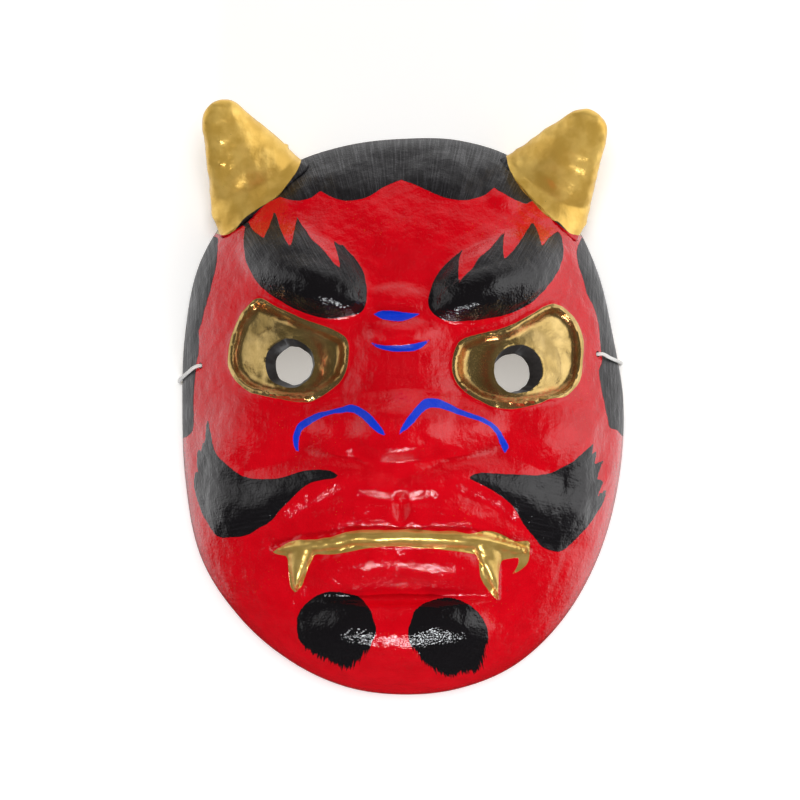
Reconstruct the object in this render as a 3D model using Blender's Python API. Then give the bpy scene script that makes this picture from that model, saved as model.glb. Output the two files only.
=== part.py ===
"""A papier-mache oni mask lying face up on the cut edge of its hollow shell.

The face looks along +Z, the horns point along +Y and +X is the viewer's right. The origin is the
middle of the mask's own outline, on the table. Lengths are in metres.
"""

import math

import bmesh
import bpy
import numpy as np
from mathutils import Vector
from mathutils.geometry import delaunay_2d_cdt

# Sizes of the shell.
FACE_WIDTH = 0.1854
FACE_HEIGHT = 0.2338
CROWN_SHARE = 0.478
DOME_DEPTH = 0.056
RELIEF_DEPTH = 0.0927
WALL = 0.003
SUNK_WALL = 0.0020
SUNK_REACH = 0.0030
FRONT_TAPER = 1.2
EYE_HOLE = 0.0204
EYE_HOLE_INSIDE = 0.0160

# Sizes of the horns.
HORN_LENGTH = 0.0311
HORN_WIDTH = 0.0394
HORN_DEPTH = 0.0243
HORN_RISE = 0.0201
HORN_WALL = 0.0022
HORN_FLARE = 0.0031

# Sizes of the elastic cord and of the holes that it passes.
CORD_DIAMETER = 0.0015
CORD_PLAY = 0.0007
KNOT_RADIUS = 0.0023
CORD_LIFT = 0.0034
LIFT_REACH = 0.0204

# Clearance between pieces that touch.
GAP = 0.0003

# How finely the faceted surfaces are laid out.
FINE_STEP = 0.0046
COARSE_STEP = 0.0078
RIM_POINTS = 96
EYE_POINTS = 24
CORD_HOLE_POINTS = 8
HORN_SIDES = 18
HORN_RINGS = 8
HOLLOW_SIDES = 14
FINE_SHARE = 0.76
RIM_SHARE = 0.985
FINE_APART = 0.0033
COARSE_APART = 0.0056
NEAR_RIM_APART = 0.0045
FEATURE_APART = 0.0018
KNOT_RINGS = 6
KNOT_SIDES = 10
SHARP_EDGE = 50
LIP_STATIONS = 26
EYE_FACET_RINGS = (0.0, 0.10, 0.30)
NORMAL_STEP = 0.0008
NORMAL_REACH = 0.995
ROUTE_STEPS = 16
BLOCK_FLOOR = -0.01

HALF_WIDTH = FACE_WIDTH / 2
CROWN = FACE_HEIGHT * CROWN_SHARE
CHIN = FACE_HEIGHT - CROWN
CORD_HOLE = CORD_DIAMETER + 2 * CORD_PLAY

# The dome's side view follows r**DOME_SPREAD + z**DOME_SHOULDER = 1.
DOME_SPREAD = 2.6
DOME_SHOULDER = 1.9

# The rim's radius every 15 degrees from +X, against an ellipse of the face's width and height.
RIM_SHARES = (
    0.999, 0.985, 1.013, 1.040, 1.052, 1.024, 0.997, 1.005, 1.035, 1.060, 1.062, 1.022,
    1.000, 1.020, 1.056, 1.042, 1.021, 1.007, 1.000, 1.012, 1.032, 1.036, 1.028, 1.012,
)

# Places on the face are a share of half its width and a share of its height.
# Spans and heights are shares of half its width. Tilts are in degrees.
# (place, half length, half breadth, tilt, height, edge power)
SWELLINGS = (
    ((-0.453, 0.240), 0.320, 0.168, -27, 0.135, 0.60),
    ((0.426, 0.230), 0.320, 0.168, 27, 0.135, 0.60),
    ((-0.014, 0.190), 0.150, 0.070, 0, 0.036, 0.8),
    ((-0.009, 0.128), 0.165, 0.070, 0, 0.040, 0.8),
    ((-0.400, 0.216), 0.250, 0.100, -24, 0.030, 0.8),
    ((0.372, 0.206), 0.250, 0.100, 24, 0.030, 0.8),
    ((-0.009, 0.030), 0.270, 0.460, 0, 0.080, 1.2),
    ((-0.014, -0.038), 0.500, 0.160, 0, 0.085, 0.8),
    ((-0.014, -0.044), 0.220, 0.145, 0, 0.045, 0.9),
    ((-0.290, -0.050), 0.190, 0.120, 6, 0.040, 0.9),
    ((0.265, -0.050), 0.190, 0.120, -6, 0.040, 0.9),
    ((-0.700, -0.062), 0.280, 0.220, 0, 0.065, 1.2),
    ((0.700, -0.068), 0.280, 0.220, 0, 0.065, 1.2),
    ((-0.014, -0.185), 0.680, 0.360, 0, 0.105, 1.0),
    ((-0.014, -0.112), 0.460, 0.120, 0, 0.026, 0.7),
    ((-0.160, -0.170), 0.170, 0.066, 6, 0.016, 0.8),
    ((0.135, -0.172), 0.170, 0.066, -8, 0.016, 0.8),
    ((-0.014, -0.203), 0.420, 0.058, 0, 0.016, 0.8),
    ((-0.226, -0.296), 0.230, 0.100, 6, 0.045, 0.9),
    ((0.210, -0.299), 0.230, 0.100, -6, 0.045, 0.9),
    ((-0.027, -0.440), 0.560, 0.210, 0, 0.085, 1.0),
    ((-0.308, -0.392), 0.180, 0.170, 0, 0.030, 1.0),
    ((0.249, -0.398), 0.180, 0.170, 0, 0.030, 1.0),
    ((-0.263, 0.409), 0.175, 0.105, -8, 0.032, 0.8),
    ((0.236, 0.413), 0.175, 0.105, 8, 0.032, 0.8),
    ((-0.500, 0.397), 0.110, 0.095, -20, 0.028, 0.8),
    ((0.480, 0.389), 0.110, 0.095, 20, 0.028, 0.8),
    ((-0.009, -0.186), 0.040, 0.085, 0, -0.028, 1.0),
    ((-0.014, -0.347), 0.440, 0.040, 0, -0.040, 1.0),
)
SOFT_EDGE = 0.14
RELIEF_FADE = 0.16

# The moustache's rolls, from under the nose outward: the middle line, and the half breadth where
# it starts and where it ends.
ROLLS = (
    (((-0.036, -0.153), (-0.195, -0.138), (-0.331, -0.129), (-0.467, -0.144),
      (-0.603, -0.167), (-0.739, -0.181), (-0.852, -0.167)), 0.055, 0.180),
    (((0.018, -0.153), (0.168, -0.140), (0.304, -0.131), (0.462, -0.145),
      (0.598, -0.172), (0.725, -0.194), (0.847, -0.181)), 0.055, 0.180),
)
ROLL_HEIGHT = 0.060
ROLL_START = 0.3
ROLL_POWER = 1.3

# The gilt lip band's middle line, from its left tip to its right one, and the two fangs below it.
LIP_LINE = (
    (-0.590, -0.264), (-0.500, -0.257), (-0.326, -0.250), (-0.227, -0.241), (-0.018, -0.241),
    (0.227, -0.243), (0.380, -0.248), (0.507, -0.259), (0.566, -0.264),
)
LIP_HALF = 0.038
LIP_HEIGHT = 0.042
LIP_POWER = 0.6
LIP_FULLNESS = 1.2
LIP_THINNEST = 0.3
FANGS = (
    ((-0.460, -0.262), (-0.478, -0.300), (-0.489, -0.341)),
    ((0.382, -0.258), (0.405, -0.300), (0.435, -0.354)),
)
FANG_HALF = 0.058
FANG_TIP = 0.02

# Each eye's gilt almond, and the middle of the hole in its ball.
LEFT_EYE = (
    (-0.661, 0.190), (-0.480, 0.158), (-0.296, 0.129), (-0.249, 0.111), (-0.254, 0.068),
    (-0.295, 0.038), (-0.385, 0.011), (-0.489, 0.004), (-0.643, 0.016), (-0.748, 0.038),
    (-0.793, 0.074), (-0.779, 0.124), (-0.734, 0.163),
)
RIGHT_EYE = (
    (0.684, 0.180), (0.770, 0.158), (0.815, 0.115), (0.806, 0.050), (0.741, 0.015),
    (0.621, 0.002), (0.467, -0.007), (0.344, 0.007), (0.245, 0.038), (0.222, 0.072),
    (0.258, 0.113), (0.353, 0.128), (0.467, 0.138), (0.584, 0.163),
)
EYES = ((LEFT_EYE, (-0.512, 0.0735)), (RIGHT_EYE, (0.521, 0.063)))
EYE_LIP = 0.018
EYE_LIP_INSET = 0.012
EYE_LIP_SPREAD = 0.014
EYE_TROUGH = 0.034
EYE_TROUGH_SPAN = 0.050
EYE_BALL = 0.058
EYE_BALL_SPAN = 0.200
EYE_BALL_POWER = 1.1

# Where the cord goes through the shell, and where the rim is cut higher to let it pass.
CORD_HOLES = ((-0.920, 0.069), (0.883, 0.090))
CORD_PASSES = ((176.0, 13.0), (8.0, 13.0))

# Each horn's root on the face and the direction that it points in, in degrees from +X.
HORNS = {"horn_left": ((-0.683, 0.413), 117), "horn_right": ((0.671, 0.403), 56)}
HORN_ROOT_HEIGHT = 0.0118

# The horn's side view: shares of its length behind the root, and how the cone narrows and ends.
HORN_FOOT = (-0.6, -0.3, -0.12)
HORN_NARROWING = 0.67
HORN_BLUNTNESS = 16
HORN_FLARE_SHARE = 0.25

# The cord's route from the left knot to the right one, settled by hand.
CORD_ROUTE = (
    (-0.0812, 0.0144, 0.0217), (-0.0837, 0.0145, 0.0234), (-0.0854, 0.0141, 0.0236),
    (-0.0870, 0.0133, 0.0215), (-0.0886, 0.0121, 0.0178), (-0.0906, 0.0108, 0.0130),
    (-0.0924, 0.0095, 0.0085), (-0.0936, 0.0084, 0.0050), (-0.0933, 0.0076, 0.0022),
    (-0.0907, 0.0067, 0.0010), (-0.0860, 0.0056, 0.0008), (-0.0760, 0.0008, 0.0008),
    (-0.0660, -0.0102, 0.0008), (-0.0610, -0.0262, 0.0008), (-0.0560, -0.0422, 0.0008),
    (-0.0430, -0.0542, 0.0008), (-0.0260, -0.0562, 0.0008), (-0.0100, -0.0502, 0.0008),
    (0.0060, -0.0422, 0.0008), (0.0230, -0.0402, 0.0008), (0.0390, -0.0452, 0.0008),
    (0.0540, -0.0442, 0.0008), (0.0660, -0.0332, 0.0008), (0.0710, -0.0162, 0.0008),
    (0.0740, -0.0002, 0.0008), (0.0800, 0.0108, 0.0008), (0.0855, 0.0142, 0.0008),
    (0.0886, 0.0150, 0.0011), (0.0909, 0.0154, 0.0025), (0.0912, 0.0158, 0.0050),
    (0.0899, 0.0163, 0.0090), (0.0877, 0.0170, 0.0140), (0.0852, 0.0179, 0.0190),
    (0.0833, 0.0188, 0.0229), (0.0818, 0.0193, 0.0243), (0.0801, 0.0192, 0.0242),
    (0.0777, 0.0188, 0.0225),
)
CORD_MIDDLE_POINTS = 42
CORD_END_POINTS = 15
CORD_END = 0.032

RED = (0.62, 0.006, 0.012)
GOLD = (0.72, 0.48, 0.16)
WHITE = (0.85, 0.84, 0.82)


def clear_scene():
    for item in list(bpy.data.objects):
        bpy.data.objects.remove(item, do_unlink=True)


def material(name, colour, roughness, metallic):
    made = bpy.data.materials.new(name)
    made.use_nodes = True
    shader = made.node_tree.nodes["Principled BSDF"]
    shader.inputs["Base Color"].default_value = (*colour, 1.0)
    shader.inputs["Roughness"].default_value = roughness
    shader.inputs["Metallic"].default_value = metallic
    return made


def add_mesh(name, points, faces, finish, centre):
    """An object laid out about the face's own middle, placed so that the origin is the mask's."""
    mesh = bpy.data.meshes.new(name)
    mesh.from_pydata([tuple(p) for p in points], [], [tuple(f) for f in faces])
    mesh.validate()
    mesh.shade_smooth()
    mesh.set_sharp_from_angle(angle=math.radians(SHARP_EDGE))
    mesh.materials.append(finish)
    made = bpy.data.objects.new(name, mesh)
    made.location = (-centre[0], -centre[1], 0.0)
    bpy.context.scene.collection.objects.link(made)
    return made


# The face's layout: x and y as seen from the front, before the taper.


def on_face(place):
    """A place given in shares, in metres on the layout."""
    return np.array([place[0] * HALF_WIDTH, place[1] * FACE_HEIGHT])


def smooth_line(places, closed, per_piece):
    """Points on a smooth curve through the places."""
    knots = [on_face(place) for place in places]
    count = len(knots)
    pieces = count if closed else count - 1
    line = []
    for i in range(pieces):
        if closed:
            a, b, c, d = (knots[(i + k - 1) % count] for k in range(4))
        else:
            a, b, c, d = (knots[min(max(i + k - 1, 0), count - 1)] for k in range(4))
        for t in np.arange(per_piece) / per_piece:
            line.append(
                0.5 * (2 * b + (c - a) * t + (2 * a - 5 * b + 4 * c - d) * t**2
                       + (3 * b - a - 3 * c + d) * t**3)
            )
    if not closed:
        line.append(knots[-1])
    return np.array(line)


def to_line(x, y, line, closed=False):
    """How far each point is from the line, and how far along it, from 0 to 1, its nearest point is."""
    ends = np.roll(line, -1, axis=0) if closed else line[1:]
    starts = line if closed else line[:-1]
    lengths = np.linalg.norm(ends - starts, axis=1)
    before = np.concatenate([[0.0], np.cumsum(lengths)])
    best = np.full(np.shape(x), np.inf)
    along = np.zeros(np.shape(x))
    for start, end, length, passed in zip(starts, ends, lengths, before):
        way = (end - start) / max(length, 1e-9)
        reach = np.clip((x - start[0]) * way[0] + (y - start[1]) * way[1], 0.0, length)
        away = np.hypot(x - start[0] - reach * way[0], y - start[1] - reach * way[1])
        along = np.where(away < best, (passed + reach) / before[-1], along)
        best = np.minimum(best, away)
    return best, along


def inside(x, y, outline):
    """Whether each point lies inside the closed outline."""
    crossed = np.zeros(np.shape(x), bool)
    for (ax, ay), (bx, by) in zip(outline, np.roll(outline, -1, axis=0)):
        spans = (ay > y) != (by > y)
        rise = by - ay if by != ay else 1e-12
        crossed ^= spans & (x < (bx - ax) * (y - ay) / rise + ax)
    return crossed


def rim_share(angle):
    """The rim's radius at an angle, against the plain ellipse."""
    step = 2 * math.pi / len(RIM_SHARES)
    at = np.mod(angle, 2 * math.pi) / step
    i = np.floor(at).astype(int)
    t = at - i
    a, b, c, d = (np.array(RIM_SHARES)[(i + k - 1) % len(RIM_SHARES)] for k in range(4))
    return 0.5 * (2 * b + (c - a) * t + (2 * a - 5 * b + 4 * c - d) * t**2
                  + (3 * b - a - 3 * c + d) * t**3)


def dome_table():
    """The dome's radius and height, both from 0 to 1, against the way along its side from the top."""
    turn = np.linspace(0.0, math.pi / 2, 3001)
    radius = np.sin(turn) ** (2 / DOME_SPREAD)
    height = np.cos(turn) ** (2 / DOME_SHOULDER)
    height[-1] = 0.0
    steps = np.hypot(np.diff(radius) * HALF_WIDTH, np.diff(height) * DOME_DEPTH)
    way = np.concatenate([[0.0], np.cumsum(steps)])
    return radius, height, way


DOME_RADIUS, DOME_HEIGHT, DOME_WAY = dome_table()
UNROLL = DOME_WAY[-1] / HALF_WIDTH


def spread_of(angle):
    """Half the face's size across and along, where the angle points."""
    return HALF_WIDTH, np.where(np.sin(angle) > 0, CROWN, CHIN)


def to_flat(x, y):
    """The unrolled place of a layout point: the shell's skin pressed flat, so that spacing stays even."""
    up = np.where(y > 0, CROWN, CHIN)
    angle = np.arctan2(y / up, x / HALF_WIDTH)
    radius = np.hypot(x / HALF_WIDTH, y / up) / rim_share(angle)
    part = np.interp(radius, DOME_RADIUS, DOME_WAY / DOME_WAY[-1])
    across, along = spread_of(angle)
    return part * np.cos(angle) * across * UNROLL, part * np.sin(angle) * along * UNROLL


def from_flat(p, q):
    """The layout x and y and the bare dome's height at an unrolled place, with its angle."""
    up = np.where(q > 0, CROWN, CHIN)
    angle = np.arctan2(q / up, p / HALF_WIDTH)
    part = np.clip(np.hypot(p / HALF_WIDTH, q / up) / UNROLL, 0.0, 1.0)
    radius = np.interp(part * DOME_WAY[-1], DOME_WAY, DOME_RADIUS)
    height = np.interp(part * DOME_WAY[-1], DOME_WAY, DOME_HEIGHT) * DOME_DEPTH
    across, along = spread_of(angle)
    reach = radius * rim_share(angle)
    return reach * np.cos(angle) * across, reach * np.sin(angle) * along, height, angle, radius


def swelling(x, y, place, length, breadth, tilt, height, power):
    """One rounded swelling, or a hollow where its height is negative."""
    middle = on_face(place)
    turn = math.radians(tilt)
    across = ((x - middle[0]) * math.cos(turn) + (y - middle[1]) * math.sin(turn)) / HALF_WIDTH
    along = ((y - middle[1]) * math.cos(turn) - (x - middle[0]) * math.sin(turn)) / HALF_WIDTH
    left = 1 - (across / length) ** 2 - (along / breadth) ** 2
    left = 0.5 * (left + np.sqrt(left**2 + SOFT_EDGE**2))
    left = left - SOFT_EDGE**2 / (4 * (left + 1))
    return height * np.clip(left, 0.0, None) ** power


def ridge(away, half, height, power):
    """A rounded roll of the given half breadth along a line, by the distance from that line."""
    return height * np.clip(1 - (away / half) ** 2, 0.0, 1.0) ** power


ROLL_CURVES = tuple(smooth_line(line, False, 4) for line, _, _ in ROLLS)
LIP_CURVE = smooth_line(LIP_LINE, False, 4)
FANG_CURVES = tuple(smooth_line(fang, False, 4) for fang in FANGS)
EYE_CURVES = tuple(smooth_line(eye, True, 3) for eye, _ in EYES)


def eye_relief(x, y, outline, middle):
    """A lip round the gilt almond, a trough inside it and the ball that carries the hole."""
    away, _ = to_line(x, y, outline, closed=True)
    depth = np.where(inside(x, y, outline), away, -away) / HALF_WIDTH
    lip = EYE_LIP * np.exp(-(((depth - EYE_LIP_INSET) / EYE_LIP_SPREAD) ** 2))
    step = np.clip((depth - EYE_LIP_INSET) / EYE_TROUGH_SPAN, 0.0, 1.0)
    trough = -EYE_TROUGH * step * step * (3 - 2 * step)
    hole = on_face(middle)
    ball = 1 - (np.hypot(x - hole[0], y - hole[1]) / (EYE_BALL_SPAN * HALF_WIDTH)) ** 2
    return lip + trough + EYE_BALL * np.clip(ball, 0.0, 1.0) ** EYE_BALL_POWER * (step > 0)


def relief(x, y, carved):
    """The height of the features over the bare dome. The shell's inside has only the broad ones."""
    total = np.zeros(np.shape(x))
    for values in SWELLINGS:
        total += swelling(x, y, *values)
    for curve, (_, first, last) in zip(ROLL_CURVES, ROLLS):
        away, along = to_line(x, y, curve)
        half = (first + (last - first) * along) * HALF_WIDTH
        height = ROLL_HEIGHT * (ROLL_START + (1 - ROLL_START) * along)
        total += ridge(away, half, height, ROLL_POWER)
    if carved:
        away, along = to_line(x, y, LIP_CURVE)
        full = np.sqrt(np.sin(math.pi * along)) * LIP_FULLNESS
        half = LIP_HALF * HALF_WIDTH * np.clip(full, LIP_THINNEST, 1.0)
        band = ridge(away, half, LIP_HEIGHT, LIP_POWER)
        for fang in FANG_CURVES:
            away, along = to_line(x, y, fang)
            half = FANG_HALF * HALF_WIDTH * (1 + FANG_TIP - along)
            band = np.maximum(band, ridge(away, half, LIP_HEIGHT, LIP_POWER))
        total += band
        for outline, (_, middle) in zip(EYE_CURVES, EYES):
            total += eye_relief(x, y, outline, middle)
    return total * RELIEF_DEPTH


def skin(p, q, carved=True):
    """The shell's outer surface at unrolled places. With carved off it is the smoother one inside."""
    x, y, height, angle, radius = from_flat(p, q)
    fade = np.clip((1 - radius) / RELIEF_FADE, 0.0, 1.0)
    fade = fade * fade * (3 - 2 * fade)
    z = height + relief(x, y, carved) * fade
    for middle, half in CORD_PASSES:
        off = np.degrees(np.abs(np.angle(np.exp(1j * (angle - math.radians(middle))))))
        lift = CORD_LIFT * 0.5 * (1 + np.cos(math.pi * np.clip(off / half, 0.0, 1.0)))
        z = z + lift * np.clip(1 - z / LIFT_REACH, 0.0, 1.0) ** 2
    taper = 1 - z / FRONT_TAPER
    return np.stack([x * taper, y * taper, z], axis=-1)


def normals(p, q, carved=True):
    """The outward direction of the outer surface at unrolled places."""
    part = np.hypot(p / HALF_WIDTH, q / np.where(q > 0, CROWN, CHIN)) / UNROLL
    pull = np.minimum(1.0, NORMAL_REACH / np.maximum(part, 1e-9))
    p, q = p * pull, q * pull
    along_p = skin(p + NORMAL_STEP, q, carved) - skin(p - NORMAL_STEP, q, carved)
    along_q = skin(p, q + NORMAL_STEP, carved) - skin(p, q - NORMAL_STEP, carved)
    out = np.cross(along_p, along_q)
    return out / np.linalg.norm(out, axis=-1, keepdims=True)


def rim_line():
    """The unrolled places of the rim."""
    angle = 2 * math.pi * np.arange(RIM_POINTS) / RIM_POINTS
    across, along = spread_of(angle)
    return np.stack([np.cos(angle) * across, np.sin(angle) * along], axis=-1) * UNROLL


def hole_rings():
    """For each hole, its ring of unrolled places outside and inside the shell."""
    rings = []
    for _, place in EYES:
        middle = on_face(place)
        turn = 2 * math.pi * np.arange(EYE_POINTS) / EYE_POINTS
        pair = []
        for width in (EYE_HOLE, EYE_HOLE_INSIDE):
            x = middle[0] + width / 2 * np.cos(turn)
            y = middle[1] + width / 2 * np.sin(turn)
            pair.append(np.stack(to_flat(x, y), axis=-1))
        rings.append(pair)
    for place in CORD_HOLES:
        middle = np.array(to_flat(*on_face(place)))
        turn = 2 * math.pi * np.arange(CORD_HOLE_POINTS) / CORD_HOLE_POINTS
        ring = middle + CORD_HOLE / 2 * np.stack([np.cos(turn), np.sin(turn)], axis=-1)
        rings.append([ring, ring])
    return rings


def grid(step, low, high):
    """A triangular grid of unrolled places between two shares of the way from the top to the rim."""
    reach = max(HALF_WIDTH, CROWN, CHIN) * UNROLL
    rows = np.arange(-reach, reach, step * math.sqrt(0.75))
    found = []
    for i, q in enumerate(rows):
        p = np.arange(-reach, reach, step) + (i % 2) * step / 2
        part = np.hypot(p / HALF_WIDTH, q / (CROWN if q > 0 else CHIN)) / UNROLL
        found += [(a, q) for a in p[(part >= low) & (part < high)]]
    return np.array(found)


def feature_points():
    """Unrolled places along the edges and crests of the features, so that facets follow them."""
    found = []
    along = np.linspace(0.0, 1.0, LIP_STATIONS)
    index = along * (len(LIP_CURVE) - 1)
    middle = np.stack([np.interp(index, np.arange(len(LIP_CURVE)), LIP_CURVE[:, k]) for k in (0, 1)], 1)
    way = np.gradient(middle, axis=0)
    side = np.stack([-way[:, 1], way[:, 0]], 1) / np.linalg.norm(way, axis=1)[:, None]
    for offset in (-1.0, 0.0, 1.0):
        found.append(middle + side * offset * LIP_HALF * HALF_WIDTH)
    for fang in FANG_CURVES:
        way = np.gradient(fang, axis=0)
        side = np.stack([-way[:, 1], way[:, 0]], 1) / np.linalg.norm(way, axis=1)[:, None]
        narrow = np.linspace(1.0, 0.1, len(fang))[:, None]
        for offset in (-1.0, 0.0, 1.0):
            found.append((fang + side * offset * narrow * FANG_HALF * HALF_WIDTH)[2::2])
    for outline, (_, place) in zip(EYE_CURVES, EYES):
        middle = on_face(place)
        for share in EYE_FACET_RINGS:
            found.append(outline + (middle - outline) * share)
    places = np.concatenate(found)
    return np.stack(to_flat(places[:, 0], places[:, 1]), axis=-1)


def thinned(points, kept, least):
    """The points that are at least a distance from those kept before and from each other."""
    chosen = np.concatenate([kept, points])
    count = len(kept)
    for point in points:
        if np.hypot(*(chosen[:count] - point).T).min() >= least:
            chosen[count] = point
            count += 1
    return chosen[len(kept):count]


def clear_of_holes(points, rings):
    """The points that lie outside every hole ring."""
    kept = np.ones(len(points), bool)
    for ring in rings:
        kept &= ~inside(points[:, 0], points[:, 1], ring)
    return points[kept]


def surface_points(carved, rings):
    """All unrolled places of one surface: first the rim and the hole rings, then the rest."""
    chosen = np.concatenate([rim_line(), *rings])
    layers = [(grid(COARSE_STEP, 0.0, RIM_SHARE), COARSE_APART)]
    if carved:
        layers = [
            (feature_points(), FEATURE_APART),
            (grid(FINE_STEP, 0.0, FINE_SHARE), FINE_APART),
            (grid(COARSE_STEP, FINE_SHARE, RIM_SHARE), NEAR_RIM_APART),
        ]
    for points, least in layers:
        chosen = np.concatenate([chosen, thinned(clear_of_holes(points, rings), chosen, least)])
    return chosen


def triangles(points, rings, holes=True):
    """A Delaunay triangulation of unrolled places, open at the hole rings if it has holes."""
    loops = []
    start = RIM_POINTS
    for ring in rings:
        loops.append(list(range(start, start + len(ring))))
        start += len(ring)
    edges = [(i, (i + 1) % RIM_POINTS) for i in range(RIM_POINTS)]
    for loop in loops:
        edges += list(zip(loop, loop[1:] + loop[:1]))
    flat = [Vector((float(a), float(b))) for a, b in points]
    _, _, faces, origins, _, _ = delaunay_2d_cdt(flat, edges, [], 0, 1e-9)
    names = [origin[0] for origin in origins]
    kept = []
    for face in faces:
        corners = [names[i] for i in face]
        if holes and any(all(c in loop for c in corners) for loop in loops):
            continue
        a, b, c = (points[i] for i in corners)
        turn = (b[0] - a[0]) * (c[1] - a[1]) - (b[1] - a[1]) * (c[0] - a[0])
        kept.append(corners if turn > 0 else corners[::-1])
    return kept, loops


def wall_at(p, q, smooth, out):
    """How far the inside lies under the smoother surface: further where the eyes are sunk into it."""
    turn = 2 * math.pi * np.arange(8) / 8
    around = [(0.0, 0.0), *zip(np.cos(turn) * SUNK_REACH, np.sin(turn) * SUNK_REACH)]
    deepest = np.max([((smooth - skin(p + a, q + b)) * out).sum(axis=-1) for a, b in around], axis=0)
    near_rim = np.hypot(p / HALF_WIDTH, q / np.where(q > 0, CROWN, CHIN)) > NORMAL_REACH * UNROLL * 0.8
    return np.where(near_rim, WALL, np.maximum(WALL, deepest + SUNK_WALL))


def inner_skin(p, q):
    """The shell's inside: the smoother surface, one wall further in."""
    smooth, out = skin(p, q, carved=False), normals(p, q, carved=False)
    return smooth - out * wall_at(p, q, smooth, out)[..., None]


def shell_geometry():
    """Points and faces of the hollow shell, with the eye holes and the cord holes cut through it."""
    pairs = hole_rings()
    outer_rings = [pair[0] for pair in pairs]
    inner_rings = [pair[1] for pair in pairs]
    outer_flat = surface_points(True, outer_rings)
    inner_flat = surface_points(False, inner_rings)
    outer_faces, outer_loops = triangles(outer_flat, outer_rings)
    inner_faces, inner_loops = triangles(inner_flat, inner_rings)
    outer = skin(outer_flat[:, 0], outer_flat[:, 1])
    inner = inner_skin(inner_flat[:, 0], inner_flat[:, 1])
    inner[:RIM_POINTS, 2] = outer[:RIM_POINTS, 2]
    shift = len(outer)
    faces = [tuple(f) for f in outer_faces]
    faces += [tuple(shift + i for i in f[::-1]) for f in inner_faces]
    rim = list(range(RIM_POINTS))
    faces += band(rim, [shift + i for i in rim], True)
    for outer_loop, inner_loop in zip(outer_loops, inner_loops):
        faces += band(outer_loop, [shift + i for i in inner_loop], False)
    return np.concatenate([outer, inner]), faces


def band(first, second, flipped):
    """The wall between two matching loops."""
    faces = []
    for i in range(len(first)):
        j = (i + 1) % len(first)
        quad = (first[i], first[j], second[j], second[i])
        faces.append(quad[::-1] if flipped else quad)
    return faces


def shell_cutter():
    """A solid block under the shell's outer surface, one gap larger, that shapes the horns' roots."""
    rings = [pair[0] for pair in hole_rings()]
    flat = surface_points(True, rings)
    faces, _ = triangles(flat, rings, holes=False)
    top = skin(flat[:, 0], flat[:, 1]) + normals(flat[:, 0], flat[:, 1]) * GAP
    low = top[:RIM_POINTS].copy()
    low[:, 2] = BLOCK_FLOOR
    shift = len(top)
    rim = list(range(RIM_POINTS))
    faces = [tuple(f) for f in faces] + band(rim, [shift + i for i in rim], True)
    faces.append(tuple(shift + i for i in reversed(rim)))
    return np.concatenate([top, low]), faces


def horn_frame(place, heading):
    """The horn's root, its axis and the two directions across it."""
    flat = on_face(place)
    taper = 1 - HORN_ROOT_HEIGHT / FRONT_TAPER
    root = Vector((flat[0] * taper, flat[1] * taper, HORN_ROOT_HEIGHT))
    turn = math.radians(heading)
    axis = Vector((math.cos(turn) * HORN_LENGTH, math.sin(turn) * HORN_LENGTH, HORN_RISE))
    across = Vector((math.sin(turn), -math.cos(turn), 0.0))
    upward = across.cross(axis).normalized()
    return root, axis, across, upward


def horn_geometry(place, heading, wall, sides):
    """A closed blunt cone, smaller all round by the wall, that runs level into the shell at its foot."""
    root, axis, across, upward = horn_frame(place, heading)
    level = Vector((axis.x, axis.y, 0.0))
    tip = 1.0 - wall / axis.length
    outside = np.sin(np.linspace(0.0, math.pi / 2, HORN_RINGS))
    points, faces = [], []
    for t in (*HORN_FOOT, *outside[:-1]):
        ahead, behind = max(t, 0.0), max(-t, 0.0)
        cone = (1 - HORN_NARROWING * ahead) * math.sqrt(1 - ahead**HORN_BLUNTNESS)
        half_width = HORN_WIDTH / 2 * cone + HORN_FLARE * min(behind / HORN_FLARE_SHARE, 1.0) - wall
        half_depth = HORN_DEPTH / 2 * cone - wall
        middle = root + axis * (ahead * tip) - level * behind
        for i in range(sides):
            turn = 2 * math.pi * i / sides
            reach = across * (half_width * math.cos(turn)) + upward * (half_depth * math.sin(turn))
            points.append(middle + reach)
    points.append(root + axis * tip)
    rings = len(points) // sides
    for ring in range(rings - 1):
        for i in range(sides):
            j = (i + 1) % sides
            a, b = ring * sides, (ring + 1) * sides
            faces.append((a + i, a + j, b + j, b + i))
    last = (rings - 1) * sides
    faces += [(last + i, last + (i + 1) % sides, len(points) - 1) for i in range(sides)]
    faces.append(tuple(reversed(range(sides))))
    return points, faces


def facing_out(item):
    """Turns the object's faces outward."""
    held = bmesh.new()
    held.from_mesh(item.data)
    bmesh.ops.recalc_face_normals(held, faces=held.faces)
    held.to_mesh(item.data)
    held.free()


def cut(item, cutter):
    step = item.modifiers.new("cut_" + cutter.name, "BOOLEAN")
    step.operation = "DIFFERENCE"
    step.solver = "EXACT"
    step.object = cutter


def helper(name, points, faces, finish, centre):
    made = add_mesh(name, points, faces, finish, centre)
    facing_out(made)
    made.hide_render = True
    made.display_type = "WIRE"
    return made


def add_horn(name, place, heading, finish, block, centre):
    """A gilt paper cone, cut to the shell at its root and hollow up from there."""
    horn = add_mesh(name, *horn_geometry(place, heading, 0.0, HORN_SIDES), finish, centre)
    facing_out(horn)
    inner = horn_geometry(place, heading, HORN_WALL, HOLLOW_SIDES)
    hollow = helper(name + "_hollow", *inner, finish, centre)
    cut(horn, block)
    cut(horn, hollow)
    return horn


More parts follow.
